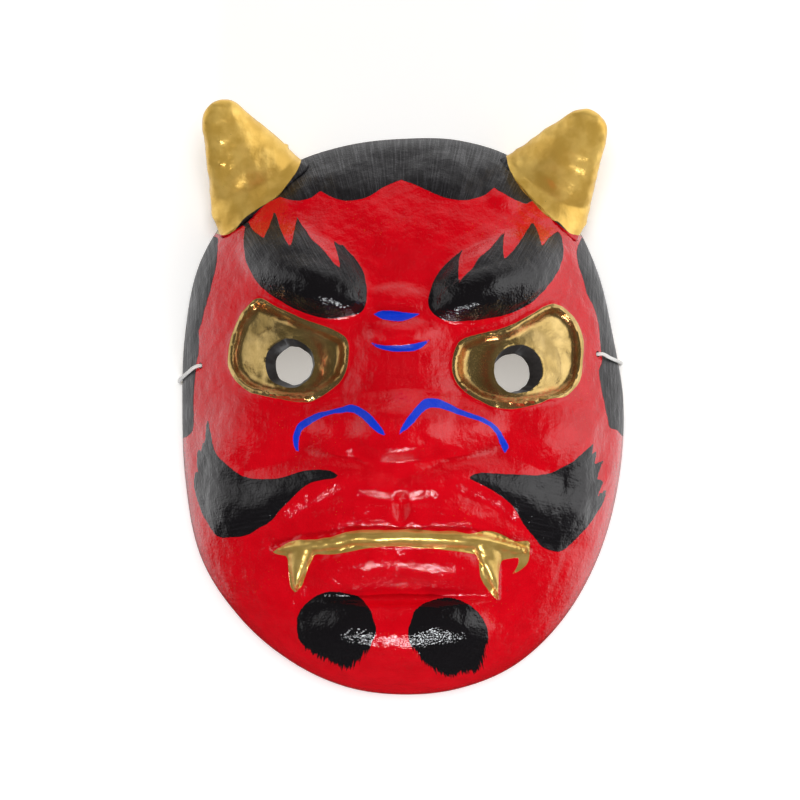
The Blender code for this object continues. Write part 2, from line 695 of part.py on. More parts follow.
def smooth_route(places):
    """Points on a smooth curve through a route's points, closer together in its bent ends."""
    knots = np.array(places)
    padded = np.concatenate([knots[:1], knots, knots[-1:]])
    line = []
    for a, b, c, d in zip(padded, padded[1:], padded[2:], padded[3:]):
        for t in np.arange(ROUTE_STEPS) / ROUTE_STEPS:
            line.append(
                0.5 * (2 * b + (c - a) * t + (2 * a - 5 * b + 4 * c - d) * t**2
                       + (3 * b - a - 3 * c + d) * t**3)
            )
    line = np.array(line + [knots[-1]])
    way = np.concatenate([[0.0], np.cumsum(np.linalg.norm(np.diff(line, axis=0), axis=1))])
    first = np.linspace(0.0, CORD_END, CORD_END_POINTS, endpoint=False)
    middle = np.linspace(CORD_END, way[-1] - CORD_END, CORD_MIDDLE_POINTS)
    stops = np.concatenate([first, middle, way[-1] - first[::-1]])
    return np.stack([np.interp(stops, way, line[:, k]) for k in range(3)], axis=-1)


def add_cord(finish):
    """The elastic, a plain tube from one knot to the other."""
    curve = bpy.data.curves.new("cord", "CURVE")
    curve.dimensions = "3D"
    curve.bevel_depth = CORD_DIAMETER / 2
    curve.bevel_resolution = 2
    curve.use_fill_caps = True
    spline = curve.splines.new("POLY")
    route = smooth_route(CORD_ROUTE)
    spline.points.add(len(route) - 1)
    for point, place in zip(spline.points, route):
        point.co = (*place, 1.0)
    curve.materials.append(finish)
    made = bpy.data.objects.new("cord", curve)
    bpy.context.scene.collection.objects.link(made)
    return made


def add_knot(name, place, finish, centre):
    """The knot that keeps the cord's end inside the shell, one gap away from the wall and the cord."""
    p, q = (np.array([value]) for value in to_flat(*on_face(place)))
    out = normals(p, q)[0]
    middle = inner_skin(p, q)[0] - out * (KNOT_RADIUS + GAP)
    points = [(0.0, 0.0, -KNOT_RADIUS)]
    for ring in range(1, KNOT_RINGS):
        height = -math.cos(math.pi * ring / KNOT_RINGS) * KNOT_RADIUS
        reach = math.sin(math.pi * ring / KNOT_RINGS) * KNOT_RADIUS
        for side in range(KNOT_SIDES):
            turn = 2 * math.pi * side / KNOT_SIDES
            points.append((reach * math.cos(turn), reach * math.sin(turn), height))
    points.append((0.0, 0.0, KNOT_RADIUS))
    top = len(points) - 1
    faces = []
    for side in range(KNOT_SIDES):
        after = (side + 1) % KNOT_SIDES
        faces.append((0, 1 + after, 1 + side))
        for ring in range(KNOT_RINGS - 2):
            a, b = 1 + ring * KNOT_SIDES, 1 + (ring + 1) * KNOT_SIDES
            faces.append((a + side, a + after, b + after, b + side))
        last = 1 + (KNOT_RINGS - 2) * KNOT_SIDES
        faces.append((last + side, last + after, top))
    return add_mesh(name, np.array(points) + middle, faces, finish, centre)


def own_centre(points):
    """The middle of the mask's own outline, shell and horns together."""
    low, high = points.min(axis=0), points.max(axis=0)
    for place, heading in HORNS.values():
        cone, _ = horn_geometry(place, heading, 0.0, HORN_SIDES)
        outer = np.array([tuple(p) for p in cone[HORN_SIDES * len(HORN_FOOT):]])
        low, high = np.minimum(low, outer.min(axis=0)), np.maximum(high, outer.max(axis=0))
    return (low + high) / 2


def main():
    clear_scene()
    red = material("red_lacquer", RED, 0.25, 0.0)
    gold = material("gilt_paper", GOLD, 0.35, 1.0)
    points, faces = shell_geometry()
    centre = own_centre(points)
    add_mesh("mask_shell", points, faces, red, centre)
    block = helper("shell_block", *shell_cutter(), red, centre)
    for name, (place, heading) in HORNS.items():
        add_horn(name, place, heading, gold, block, centre)
    white = material("white_elastic", WHITE, 0.8, 0.0)
    add_cord(white)
    for name, place in zip(("knot_left", "knot_right"), CORD_HOLES):
        add_knot(name, place, white, centre)


main()
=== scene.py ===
"""The looks of a papier-mache oni mask that lies face up on a pale floor.

Lengths are in metres unless a name says otherwise. The painted outlines are in millimetres on the
mask's layout: x to the viewer's right and y towards the horns, as seen from straight above.
"""

import math

import bmesh
import bpy
import numpy as np
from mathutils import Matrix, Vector
from mathutils.geometry import delaunay_2d_cdt


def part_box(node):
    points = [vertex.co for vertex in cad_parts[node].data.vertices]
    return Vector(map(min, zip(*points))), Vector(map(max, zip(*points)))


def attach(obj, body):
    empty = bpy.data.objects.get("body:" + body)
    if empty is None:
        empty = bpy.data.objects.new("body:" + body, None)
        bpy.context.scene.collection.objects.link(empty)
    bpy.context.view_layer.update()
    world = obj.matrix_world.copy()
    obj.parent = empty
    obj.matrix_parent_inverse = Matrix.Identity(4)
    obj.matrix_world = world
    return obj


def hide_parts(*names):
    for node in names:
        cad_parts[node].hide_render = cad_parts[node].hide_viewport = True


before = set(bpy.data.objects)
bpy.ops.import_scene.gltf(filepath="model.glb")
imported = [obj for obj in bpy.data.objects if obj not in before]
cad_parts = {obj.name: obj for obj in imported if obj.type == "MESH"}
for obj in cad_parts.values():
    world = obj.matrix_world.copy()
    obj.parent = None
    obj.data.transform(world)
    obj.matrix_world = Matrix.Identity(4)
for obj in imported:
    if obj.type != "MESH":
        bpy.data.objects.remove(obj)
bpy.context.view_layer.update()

# The camera looks straight down.
CAMERA = (-0.00133, 0.00032, 1.2)
SENSOR = 36.0
VIEW_WIDTH = 0.336

# The elastic cord's route from one knot to the other, and what it measures.
CORD_ROUTE = (
    (-0.0812, 0.0144, 0.0217), (-0.0837, 0.0145, 0.0234), (-0.0854, 0.0141, 0.0236),
    (-0.0870, 0.0133, 0.0215), (-0.0886, 0.0121, 0.0178), (-0.0906, 0.0108, 0.0130),
    (-0.0924, 0.0095, 0.0085), (-0.0936, 0.0084, 0.0050), (-0.0933, 0.0076, 0.0022),
    (-0.0907, 0.0067, 0.0010), (-0.0860, 0.0056, 0.0008), (-0.0760, 0.0008, 0.0008),
    (-0.0660, -0.0102, 0.0008), (-0.0610, -0.0262, 0.0008), (-0.0560, -0.0422, 0.0008),
    (-0.0430, -0.0542, 0.0008), (-0.0260, -0.0562, 0.0008), (-0.0100, -0.0502, 0.0008),
    (0.0060, -0.0422, 0.0008), (0.0230, -0.0402, 0.0008), (0.0390, -0.0452, 0.0008),
    (0.0540, -0.0442, 0.0008), (0.0660, -0.0332, 0.0008), (0.0710, -0.0162, 0.0008),
    (0.0740, -0.0002, 0.0008), (0.0800, 0.0108, 0.0008), (0.0855, 0.0142, 0.0008),
    (0.0886, 0.0150, 0.0011), (0.0909, 0.0154, 0.0025), (0.0912, 0.0158, 0.0050),
    (0.0899, 0.0163, 0.0090), (0.0877, 0.0170, 0.0140), (0.0852, 0.0179, 0.0190),
    (0.0833, 0.0188, 0.0229), (0.0818, 0.0193, 0.0243), (0.0801, 0.0192, 0.0242),
    (0.0777, 0.0188, 0.0225),
)
CORD_DIAMETER = 0.0015
CORD_SIDES = 14
CORD_STEP = 0.00035
CORD_PIECE = 16
CORD_BRAID = 0.08
BRAID_PITCH = 2.4
KNOT_TURN = 0.00125
KNOT_STRAND = 0.00062
KNOT_POINTS = 90
KNOT_SIDES = 12
KNOT_HEIGHT = 1.6

# Sizes of the shell, the same as the solid's.
FACE_WIDTH = 0.1854
FACE_HEIGHT = 0.2338
CROWN_SHARE = 0.478
DOME_DEPTH = 0.056
RELIEF_DEPTH = 0.0927
WALL = 0.003
SUNK_WALL = 0.0020
SUNK_REACH = 0.0030
SUNK_WAYS = 8
SUNK_SHARE = 0.8
FRONT_TAPER = 1.2
EYE_HOLE = 0.0204
EYE_HOLE_INSIDE = 0.0160
CENTRE = (0.00007, 0.00136)

# Sizes of the horns, the same too.
HORN_LENGTH = 0.0311
HORN_WIDTH = 0.0394
HORN_DEPTH = 0.0243
HORN_RISE = 0.0201
HORN_WALL = 0.0022
HORN_FLARE = 0.0031

# The cord's play in its holes, and how far the rim is lifted over the cord and up to what height.
CORD_PLAY = 0.0007
CORD_LIFT = 0.0034
LIFT_REACH = 0.0204

HALF_WIDTH = FACE_WIDTH / 2
CROWN = FACE_HEIGHT * CROWN_SHARE
CHIN = FACE_HEIGHT - CROWN
CORD_HOLE = CORD_DIAMETER + 2 * CORD_PLAY

# The dome's side view follows r**DOME_SPREAD + z**DOME_SHOULDER = 1.
DOME_SPREAD = 2.6
DOME_SHOULDER = 1.9

# The rim's radius every 15 degrees from +X, against an ellipse of the face's width and height.
RIM_SHARES = (
    0.999, 0.985, 1.013, 1.040, 1.052, 1.024, 0.997, 1.005, 1.035, 1.060, 1.062, 1.022,
    1.000, 1.020, 1.056, 1.042, 1.021, 1.007, 1.000, 1.012, 1.032, 1.036, 1.028, 1.012,
)

# Places on the face are a share of half its width and a share of its height.
# Spans and heights are shares of half its width. Tilts are in degrees.
# (place, half length, half breadth, tilt, height, edge power)
SWELLINGS = (
    ((-0.453, 0.240), 0.320, 0.168, -27, 0.135, 0.60),
    ((0.426, 0.230), 0.320, 0.168, 27, 0.135, 0.60),
    ((-0.014, 0.190), 0.150, 0.070, 0, 0.036, 0.8),
    ((-0.009, 0.128), 0.165, 0.070, 0, 0.040, 0.8),
    ((-0.400, 0.216), 0.250, 0.100, -24, 0.030, 0.8),
    ((0.372, 0.206), 0.250, 0.100, 24, 0.030, 0.8),
    ((-0.009, 0.030), 0.270, 0.460, 0, 0.080, 1.2),
    ((-0.014, -0.038), 0.500, 0.160, 0, 0.085, 0.8),
    ((-0.014, -0.044), 0.220, 0.145, 0, 0.045, 0.9),
    ((-0.290, -0.050), 0.190, 0.120, 6, 0.040, 0.9),
    ((0.265, -0.050), 0.190, 0.120, -6, 0.040, 0.9),
    ((-0.700, -0.062), 0.280, 0.220, 0, 0.065, 1.2),
    ((0.700, -0.068), 0.280, 0.220, 0, 0.065, 1.2),
    ((-0.014, -0.185), 0.680, 0.360, 0, 0.105, 1.0),
    ((-0.014, -0.112), 0.460, 0.120, 0, 0.026, 0.7),
    ((-0.160, -0.170), 0.170, 0.066, 6, 0.016, 0.8),
    ((0.135, -0.172), 0.170, 0.066, -8, 0.016, 0.8),
    ((-0.014, -0.203), 0.420, 0.058, 0, 0.016, 0.8),
    ((-0.226, -0.296), 0.230, 0.100, 6, 0.045, 0.9),
    ((0.210, -0.299), 0.230, 0.100, -6, 0.045, 0.9),
    ((-0.027, -0.440), 0.560, 0.210, 0, 0.085, 1.0),
    ((-0.308, -0.392), 0.180, 0.170, 0, 0.030, 1.0),
    ((0.249, -0.398), 0.180, 0.170, 0, 0.030, 1.0),
    ((-0.263, 0.409), 0.175, 0.105, -8, 0.032, 0.8),
    ((0.236, 0.413), 0.175, 0.105, 8, 0.032, 0.8),
    ((-0.500, 0.397), 0.110, 0.095, -20, 0.028, 0.8),
    ((0.480, 0.389), 0.110, 0.095, 20, 0.028, 0.8),
    ((-0.009, -0.186), 0.040, 0.085, 0, -0.028, 1.0),
    ((-0.014, -0.347), 0.440, 0.040, 0, -0.040, 1.0),
)
SOFT_EDGE = 0.14
RELIEF_FADE = 0.16

# The moustache's rolls, from under the nose outward: the middle line, and the half breadth where
# it starts and where it ends.
ROLLS = (
    (((-0.036, -0.153), (-0.195, -0.138), (-0.331, -0.129), (-0.467, -0.144),
      (-0.603, -0.167), (-0.739, -0.181), (-0.852, -0.167)), 0.055, 0.180),
    (((0.018, -0.153), (0.168, -0.140), (0.304, -0.131), (0.462, -0.145),
      (0.598, -0.172), (0.725, -0.194), (0.847, -0.181)), 0.055, 0.180),
)
ROLL_HEIGHT = 0.060
ROLL_START = 0.3
ROLL_POWER = 1.3

# The gilt lip band's middle line, from its left tip to its right one, and the two fangs below it.
LIP_LINE = (
    (-0.590, -0.264), (-0.500, -0.257), (-0.326, -0.250), (-0.227, -0.241), (-0.018, -0.241),
    (0.227, -0.243), (0.380, -0.248), (0.507, -0.259), (0.566, -0.264),
)
LIP_HALF = 0.038
LIP_HEIGHT = 0.042
LIP_POWER = 0.6
LIP_FULLNESS = 1.2
LIP_THINNEST = 0.3
FANGS = (
    ((-0.460, -0.262), (-0.478, -0.300), (-0.489, -0.341)),
    ((0.382, -0.258), (0.405, -0.300), (0.435, -0.354)),
)
FANG_HALF = 0.058
FANG_TIP = 0.02

# Each eye's gilt almond, and the middle of the hole in its ball.
LEFT_EYE = (
    (-0.661, 0.190), (-0.480, 0.158), (-0.296, 0.129), (-0.249, 0.111), (-0.254, 0.068),
    (-0.295, 0.038), (-0.385, 0.011), (-0.489, 0.004), (-0.643, 0.016), (-0.748, 0.038),
    (-0.793, 0.074), (-0.779, 0.124), (-0.734, 0.163),
)
RIGHT_EYE = (
    (0.684, 0.180), (0.770, 0.158), (0.815, 0.115), (0.806, 0.050), (0.741, 0.015),
    (0.621, 0.002), (0.467, -0.007), (0.344, 0.007), (0.245, 0.038), (0.222, 0.072),
    (0.258, 0.113), (0.353, 0.128), (0.467, 0.138), (0.584, 0.163),
)
EYES = ((LEFT_EYE, (-0.512, 0.0735)), (RIGHT_EYE, (0.521, 0.063)))
EYE_LIP = 0.018
EYE_LIP_INSET = 0.012
EYE_LIP_SPREAD = 0.014
EYE_TROUGH = 0.034
EYE_TROUGH_SPAN = 0.050
EYE_BALL = 0.058
EYE_BALL_SPAN = 0.200
EYE_BALL_POWER = 1.1

# Where the cord goes through the shell, and where the rim is cut higher to let it pass.
CORD_HOLES = ((-0.920, 0.069), (0.883, 0.090))
CORD_PASSES = ((176.0, 13.0), (8.0, 13.0))

# Each horn's root on the face and the direction that it points in, in degrees from +X.
HORNS = {"horn_left": ((-0.683, 0.413), 117), "horn_right": ((0.671, 0.403), 56)}
HORN_ROOT_HEIGHT = 0.0118

# The horn's side view: between which shares of its length its foot is looked for, and how the cone
# narrows and ends.
HORN_FOOT_FROM = 0.45
HORN_FOOT_TO = -0.6
HORN_FOOT_TRIES = 211
HORN_NARROWING = 0.67
HORN_BLUNTNESS = 16
HORN_FLARE_SHARE = 0.25

# The painted outlines, in millimetres. A third number marks a corner.
LEFT_HORN = (
    (-42.6, 102.9, 1), (-44.5, 97.9), (-49.1, 91.6), (-52.1, 87.8), (-57.1, 84.4), (-63.2, 80.6),
    (-66.9, 77.9), (-71.1, 72.7), (-75.2, 71.0), (-77.9, 71.4), (-79.5, 72.7, 1), (-89.5, 68.9, 1),
    (-100.0, 85.7, 1), (-100.0, 144.5, 1), (-42.6, 144.5, 1),
)
RIGHT_HORN = (
    (43.3, 104.2, 1), (45.2, 97.6), (49.1, 91.1), (54.2, 85.3), (58.4, 80.6), (63.0, 77.3),
    (65.5, 76.4), (70.1, 71.8), (76.0, 70.6, 1), (93.2, 67.2, 1), (101.6, 144.5, 1),
    (43.3, 144.5, 1),
)
HAIR_CAP = (
    (-85.3, 144.5, 1), (91.1, 144.5, 1), (91.1, 70.6, 1), (76.0, 70.6, 1), (70.1, 71.8),
    (63.0, 77.3), (54.2, 85.3, 1), (51.9, 84.0, 1), (45.8, 86.1), (38.2, 90.7, 1), (33.2, 87.4),
    (24.4, 85.7), (15.5, 87.4), (7.1, 91.1), (-0.5, 94.1, 1), (-8.0, 91.1), (-15.5, 86.9),
    (-23.9, 85.3), (-29.8, 86.9), (-34.4, 89.5, 1), (-39.1, 86.5), (-44.9, 85.3), (-51.9, 87.1, 1),
    (-57.1, 84.4, 1), (-71.1, 72.7), (-79.5, 72.7, 1), (-85.3, 72.7, 1),
)
LEFT_SIDE = (
    (-97.9, 75.2, 1), (-77.9, 69.9, 1), (-77.7, 61.3), (-79.4, 54.2), (-80.8, 47.9), (-82.3, 42.4),
    (-84.4, 35.3), (-85.9, 30.2), (-86.0, 23.1), (-86.9, 16.8), (-87.1, 11.3), (-87.8, 3.4),
    (-87.9, -3.8), (-88.6, -10.5), (-90.5, -13.4, 1), (-97.9, -17.2, 1),
)
RIGHT_SIDE = (
    (75.1, 69.7, 1), (73.1, 65.1), (73.4, 58.8), (76.0, 52.1), (78.1, 45.4), (80.5, 38.6),
    (82.3, 29.4), (83.2, 23.1), (83.9, 18.9), (82.7, 14.7), (82.7, 12.4), (83.2, 8.0), (84.0, 2.7),
    (84.8, -2.5), (86.5, -10.1, 1), (89.5, -10.9, 1), (92.0, -13.4, 1), (99.5, -13.4, 1),
    (99.5, 75.2, 1),
)
LEFT_BROW = (
    (-65.7, 77.7, 1), (-63.4, 73.5), (-58.8, 69.9, 1), (-56.3, 74.8), (-54.2, 81.5, 1),
    (-52.9, 78.3), (-50.8, 71.8), (-47.5, 65.9, 1), (-45.8, 72.2), (-44.7, 79.4, 1), (-42.0, 74.3),
    (-38.6, 69.7), (-34.0, 65.5), (-29.4, 59.6), (-26.5, 57.5, 1), (-27.7, 63.4), (-29.2, 68.9, 1),
    (-26.2, 66.4, 1), (-25.6, 67.2, 1), (-21.2, 62.4), (-17.2, 56.9), (-15.5, 50.8), (-15.5, 43.7),
    (-17.6, 38.6), (-23.9, 37.0), (-29.8, 36.1), (-37.4, 37.1), (-47.2, 40.7), (-55.0, 45.4),
    (-60.9, 50.8), (-64.7, 57.5), (-66.8, 64.7), (-67.2, 70.1), (-66.4, 74.3),
)
RIGHT_BROW = (
    (25.6, 65.3, 1), (23.9, 61.7), (23.2, 56.3), (23.4, 50.4, 1), (25.0, 52.9), (28.6, 56.7),
    (31.9, 61.3), (36.1, 65.3), (40.3, 69.9), (42.6, 72.2, 1), (42.0, 65.9), (42.6, 60.9, 1),
    (47.0, 65.7), (50.8, 71.0), (54.5, 76.9, 1), (56.5, 72.7), (58.4, 65.9, 1), (61.1, 69.7),
    (65.1, 72.7, 1), (66.8, 69.9), (67.2, 63.0), (65.1, 56.3), (61.1, 50.4), (55.0, 43.7),
    (46.6, 38.6), (36.1, 36.1), (25.8, 34.9), (16.8, 35.7), (11.8, 39.1), (10.5, 43.7),
    (12.6, 51.2), (16.4, 57.1), (21.0, 61.7),
)
LEFT_MOUSTACHE = (
    (-27.3, -29.8, 1), (-31.5, -27.7), (-40.3, -27.7), (-46.6, -29.4), (-52.9, -31.1),
    (-60.7, -31.5), (-65.9, -30.7), (-69.7, -29.0), (-74.3, -25.2), (-78.7, -20.2), (-80.8, -13.0),
    (-82.3, -5.2, 1), (-83.0, -10.9), (-83.4, -17.2, 1), (-84.2, -15.5, 1), (-85.0, -20.2, 1),
    (-85.9, -17.6, 1), (-86.7, -23.1), (-85.7, -29.8, 1), (-87.1, -28.1, 1), (-87.4, -34.0),
    (-86.1, -41.2), (-84.0, -47.5), (-79.4, -54.2), (-76.0, -56.3), (-71.4, -55.9), (-65.1, -55.0),
    (-59.8, -51.7), (-55.0, -48.7), (-51.7, -44.5), (-47.5, -40.3), (-43.3, -36.1), (-38.9, -33.2),
    (-33.6, -31.9), (-29.0, -31.1),
)
RIGHT_MOUSTACHE = (
    (27.3, -31.1, 1), (30.7, -29.0), (34.9, -28.8), (43.7, -29.4), (56.3, -29.8), (62.8, -28.4),
    (70.3, -24.8), (74.8, -21.4), (79.8, -16.8, 1), (79.4, -21.4, 1), (81.9, -19.5, 1),
    (81.1, -25.2, 1), (84.8, -23.5, 1), (83.2, -27.3), (81.9, -31.5, 1), (84.4, -31.9, 1),
    (82.5, -35.7), (81.5, -39.1, 1), (85.3, -35.3, 1), (83.6, -42.0), (79.2, -49.1), (74.8, -54.6),
    (70.8, -58.8), (66.4, -61.5), (61.9, -61.5), (58.0, -59.6), (55.0, -55.9), (50.4, -50.0),
    (47.0, -44.1), (42.8, -39.9), (38.6, -37.0), (32.8, -33.6),
)
LEFT_CHIN = (
    (-44.5, -91.1), (-42.0, -84.8), (-35.7, -80.2), (-27.7, -78.8), (-19.5, -80.2), (-14.3, -85.7),
    (-12.6, -89.9), (-11.3, -95.3), (-13.9, -102.1), (-17.2, -106.7), (-21.8, -110.9),
    (-26.0, -110.9), (-35.7, -105.4), (-43.3, -100.4),
)
RIGHT_CHIN = (
    (2.1, -95.8), (3.8, -89.5), (5.5, -86.1), (12.6, -82.3), (21.0, -81.5), (28.6, -84.8),
    (34.0, -91.1), (35.7, -97.9), (34.4, -105.4), (31.5, -111.3), (24.4, -112.6), (18.9, -114.2),
    (12.6, -111.3), (6.3, -105.4), (2.9, -100.8),
)
LIP = (
    (-54.8, -62.2, 1), (-46.6, -57.5), (-38.2, -57.1), (-30.2, -55.4), (-21.0, -53.1),
    (-12.2, -52.9), (-1.7, -53.3), (4.6, -52.5), (11.8, -53.3), (21.0, -53.3), (27.7, -54.6),
    (35.3, -53.3), (42.0, -55.0), (47.0, -57.5), (52.5, -57.5), (52.9, -60.3), (52.1, -66.4),
    (49.1, -69.7), (45.8, -71.4, 1), (47.9, -68.0), (48.7, -65.1), (47.9, -64.3), (43.3, -64.7),
    (41.2, -65.5, 1), (40.3, -69.7), (39.7, -74.3), (40.3, -82.7, 1), (36.5, -79.0), (32.8, -73.1),
    (31.9, -66.4), (30.2, -63.0, 1), (22.3, -61.7), (15.1, -60.9), (4.6, -60.3), (-7.6, -59.6),
    (-18.1, -60.9), (-28.6, -63.0), (-36.1, -63.0), (-37.5, -63.8, 1), (-39.9, -68.5),
    (-42.4, -76.0), (-45.4, -79.6, 1), (-47.5, -76.0), (-48.0, -67.0), (-48.7, -63.8, 1),
    (-50.4, -63.3),
)
LEFT_GILT = (
    (-61.3, 44.5), (-54.6, 41.8), (-44.5, 37.0), (-36.1, 33.6), (-27.5, 30.2), (-23.1, 26.0),
    (-23.5, 16.0), (-26.2, 9.7), (-31.9, 5.0), (-37.4, 1.7), (-42.4, 0.8), (-51.2, 2.1),
    (-59.6, 3.8), (-65.1, 5.5), (-70.3, 9.7), (-73.1, 14.7), (-73.5, 18.9), (-71.8, 29.8),
    (-68.6, 37.4),
)
RIGHT_GILT = (
    (63.4, 42.0), (68.7, 39.9), (73.1, 34.9), (75.2, 28.6), (75.6, 21.4), (74.3, 10.1),
    (68.7, 3.5), (62.6, 2.5), (57.5, 0.4), (50.0, -1.3), (43.3, -1.7), (37.0, -0.8), (31.9, 1.7),
    (26.2, 5.0), (21.8, 10.1), (20.6, 16.2), (21.8, 22.7), (24.8, 26.9), (32.8, 29.8),
    (43.3, 32.3), (54.2, 38.0), (59.6, 41.2),
)
UPPER_BLUE = (
    (-12.4, 37.8, 1), (-9.2, 39.3), (-5.5, 39.3), (-2.1, 38.9), (2.1, 38.4), (7.1, 38.0, 1),
    (3.4, 35.9), (-0.8, 34.9), (-5.0, 35.1), (-9.2, 35.9),
)
LOWER_BLUE = (
    (-13.9, 26.0, 1), (-9.2, 25.0), (-3.4, 24.8), (2.5, 25.2), (11.3, 26.9, 1), (7.6, 23.7),
    (3.8, 22.3), (-1.3, 22.1), (-5.9, 22.3), (-10.9, 23.7),
)
LEFT_ARC = (
    (-6.7, -13.4, 1), (-10.1, -12.2), (-13.9, -9.2), (-17.3, -5.9), (-21.4, -3.4), (-25.6, -3.6),
    (-31.5, -4.5), (-37.4, -7.1), (-41.6, -9.9), (-43.3, -12.4), (-44.1, -16.8), (-43.7, -20.2, 1),
    (-45.4, -18.9), (-46.3, -13.9), (-45.1, -10.1), (-43.3, -7.6), (-37.4, -4.0), (-31.5, -2.7),
    (-25.6, -1.3), (-21.4, -0.4), (-17.3, -1.8), (-13.9, -4.2), (-10.1, -8.8),
)
RIGHT_ARC = (
    (-2.1, -13.0, 1), (0.0, -8.4), (2.9, -4.2), (6.3, -0.2), (9.7, 2.3), (15.5, 1.5), (20.6, -0.4),
    (25.6, -2.3), (33.2, -5.5), (39.1, -9.5), (42.8, -14.7), (44.5, -18.1, 1), (42.6, -21.0, 1),
    (40.9, -17.2), (39.1, -12.8), (36.3, -9.5), (31.5, -6.8), (23.1, -4.1), (15.5, -1.9),
    (10.5, -1.7), (7.1, -4.6), (3.4, -8.8),
)

# How finely the visible shell is laid out.
SKIN_STEP = 0.00112
SIDE_STEP = 0.0017
FRONT_SHARE = 0.80
FRONT_GAP = 0.006
SIDE_END = 0.992
INNER_STEP = 0.0032
INNER_END = 0.985
NORMAL_STEP = 0.0008
NORMAL_END = 0.995
CURVE_POINTS = 4
EYE_CURVE_POINTS = 3
RIM_POINTS = 440
EYE_POINTS = 64
CORD_HOLE_POINTS = 20
HORN_SIDES = 120
HORN_ROWS = 90
HORN_SUNK = 0.0001
HORN_SPREAD = 0.0012
HORN_SPREAD_REACH = 0.0024
HORN_UNDER = 0.0002

# The paper's unevenness: wavelengths from and to, and the height, in metres.
LUMPS = ((0.011, 0.034, 0.00022), (0.0032, 0.0085, 0.000080))
INSIDE_LUMPS = 0.0002
CALM_RIM = 0.05

# In degrees: from which angle between two faces an edge looks sharp.
EDGE_ANGLE = 60

# Locks of hair and lumps on the horns, laid over the paper: places in millimetres on the layout.
HAIR_RIDGES = (
    ((-31.9, 92.4), (-27.7, 95.8), (-21.0, 99.1), (-15.5, 100.4), (-9.2, 98.3)),
    ((-44.5, 85.7), (-41.0, 91.6), (-36.5, 94.5), (-32.3, 93.7)),
    ((0.8, 93.7), (6.7, 98.3), (12.2, 102.9), (21.0, 100.4), (31.1, 96.2)),
    ((31.5, 96.2), (36.5, 99.1), (40.7, 98.3), (46.2, 90.7)),
    ((-16.0, 105.4), (-5.0, 108.0), (8.0, 109.6), (20.0, 106.3)),
)
RIDGE_HALF = 0.0036
RIDGE_HEIGHT = 0.0011
HORN_LUMPS = ((-76.4, 101.2, 1.1, 0.9), (-76.9, 110.9, 0.9, 0.7), (-48.9, 108.4, 0.8, 0.9))

# The raised edge of gilding round each eye hole, how far the hole's inner end is shifted, and how
# ragged the hole is outside and inside.
EYE_RING_REACH = 0.0006
EYE_RING_HALF = 0.0005
EYE_RING_HEIGHT = 0.00035
EYE_HOLE_SHIFTS = ((0.0008, -0.0008), (-0.0018, -0.0014))
EYE_HOLE_RAGGED = (0.00012, 0.00020)
EYE_HOLE_WAVES = (0.9, 2.6, 24)
EYE_HOLE_WAVE_SPAN = 3.0

# Where the painted black is ragged at the chin, and where the brows' ends are brushed dry: matte, and with
# the painted sheen of the strokes.
CHIN_RAGGED_FROM = -0.098
CHIN_RAGGED_SPAN = 0.008
CHIN_RAGGED = 9.0
BROW_DRY_FROM = 0.0500
BROW_DRY_SPAN = 0.012
BROW_DRY_LEAN = 0.10
BROW_DRY_MIDDLE = 0.034
BROW_DRY_MOST = 0.9

# In millimetres: how far the strokes in the hair fan out for a radian, the deepest that the finish
# reads and a place outside every outline, and the margins round the cap, the brows and the lip.
FAN_REACH = 100.0
DEPTH_LIMIT = 8.0
FAR_OUTSIDE = -50.0
CAP_MARGIN = -2.0
BROW_MARGIN = -1.0
LIP_MARGIN = -1.0

# How rich the lip's gilding is, where a horn's is 1.
LIP_GRAIN = 0.6

# The painted reflection of the red lacquer on the gilt eyes, reddish brown: the strongest, and in
# millimetres how far it lies in from the outline or out from the hole, and its spread. The ring's
# painted reflection leans to the eye's inner lower side.
TROUGH_REFLECTION = (0.85, 3.2, 1.2)
RING_REFLECTION = (0.9, 4.0, 2.0)
RING_REFLECTION_EVEN = 0.2
RING_REFLECTION_LEAN = (1.2, 0.7)

# Lights: place, size, power, colour and whether the gloss shows it.
LIGHTS = (
    ("top_fill", (0.0, 0.45, 1.53), (1.1, 1.1), 18.5, (1.0, 0.985, 0.97), False),
    ("right_box", (0.90, 0.0, 0.45), (0.70, 1.0), 1.2, (0.98, 0.99, 1.0), True),
    ("low_box", (0.00, -0.98, 0.46), (0.50, 0.085), 5.5, (0.95, 0.97, 1.0), True),
)

# What the lights point at.
LIGHT_AIM = (0.0, 0.0, 0.03)

# The room's own glow. It is dim overhead and grows with how far a direction leans to the left, the
# right or the horns' side, which counts a little less.
GLOW_FROM = 0.70
GLOW_TO = 1.05
GLOW_OVERHEAD = 0.02
GLOW_SIDES = 1.15
GLOW_UPPER_SHARE = 0.87
GLOW_COLOUR = (1.0, 0.995, 1.0)

# What else counts in that lean: less towards the chin, and more to the right and below the floor.
GLOW_LEANS = (("Y", "MINIMUM", 0.60), ("X", "MAXIMUM", 0.22), ("Z", "MINIMUM", -0.60))

# The floor's own glow, half its width, and how far it lies under the mask.
FLOOR_GLOW = 0.26
FLOOR_HALF = 2.5
FLOOR_DROP = 0.0001


def on_face(place):
    """A place given in shares, in metres on the layout."""
    return np.array([place[0] * HALF_WIDTH, place[1] * FACE_HEIGHT])


def between(a, b, c, d, t):
    """The point at a share t of the way from b to c, on a smooth curve that also follows a and d."""
    return 0.5 * (2 * b + (c - a) * t + (2 * a - 5 * b + 4 * c - d) * t**2
                  + (3 * b - a - 3 * c + d) * t**3)


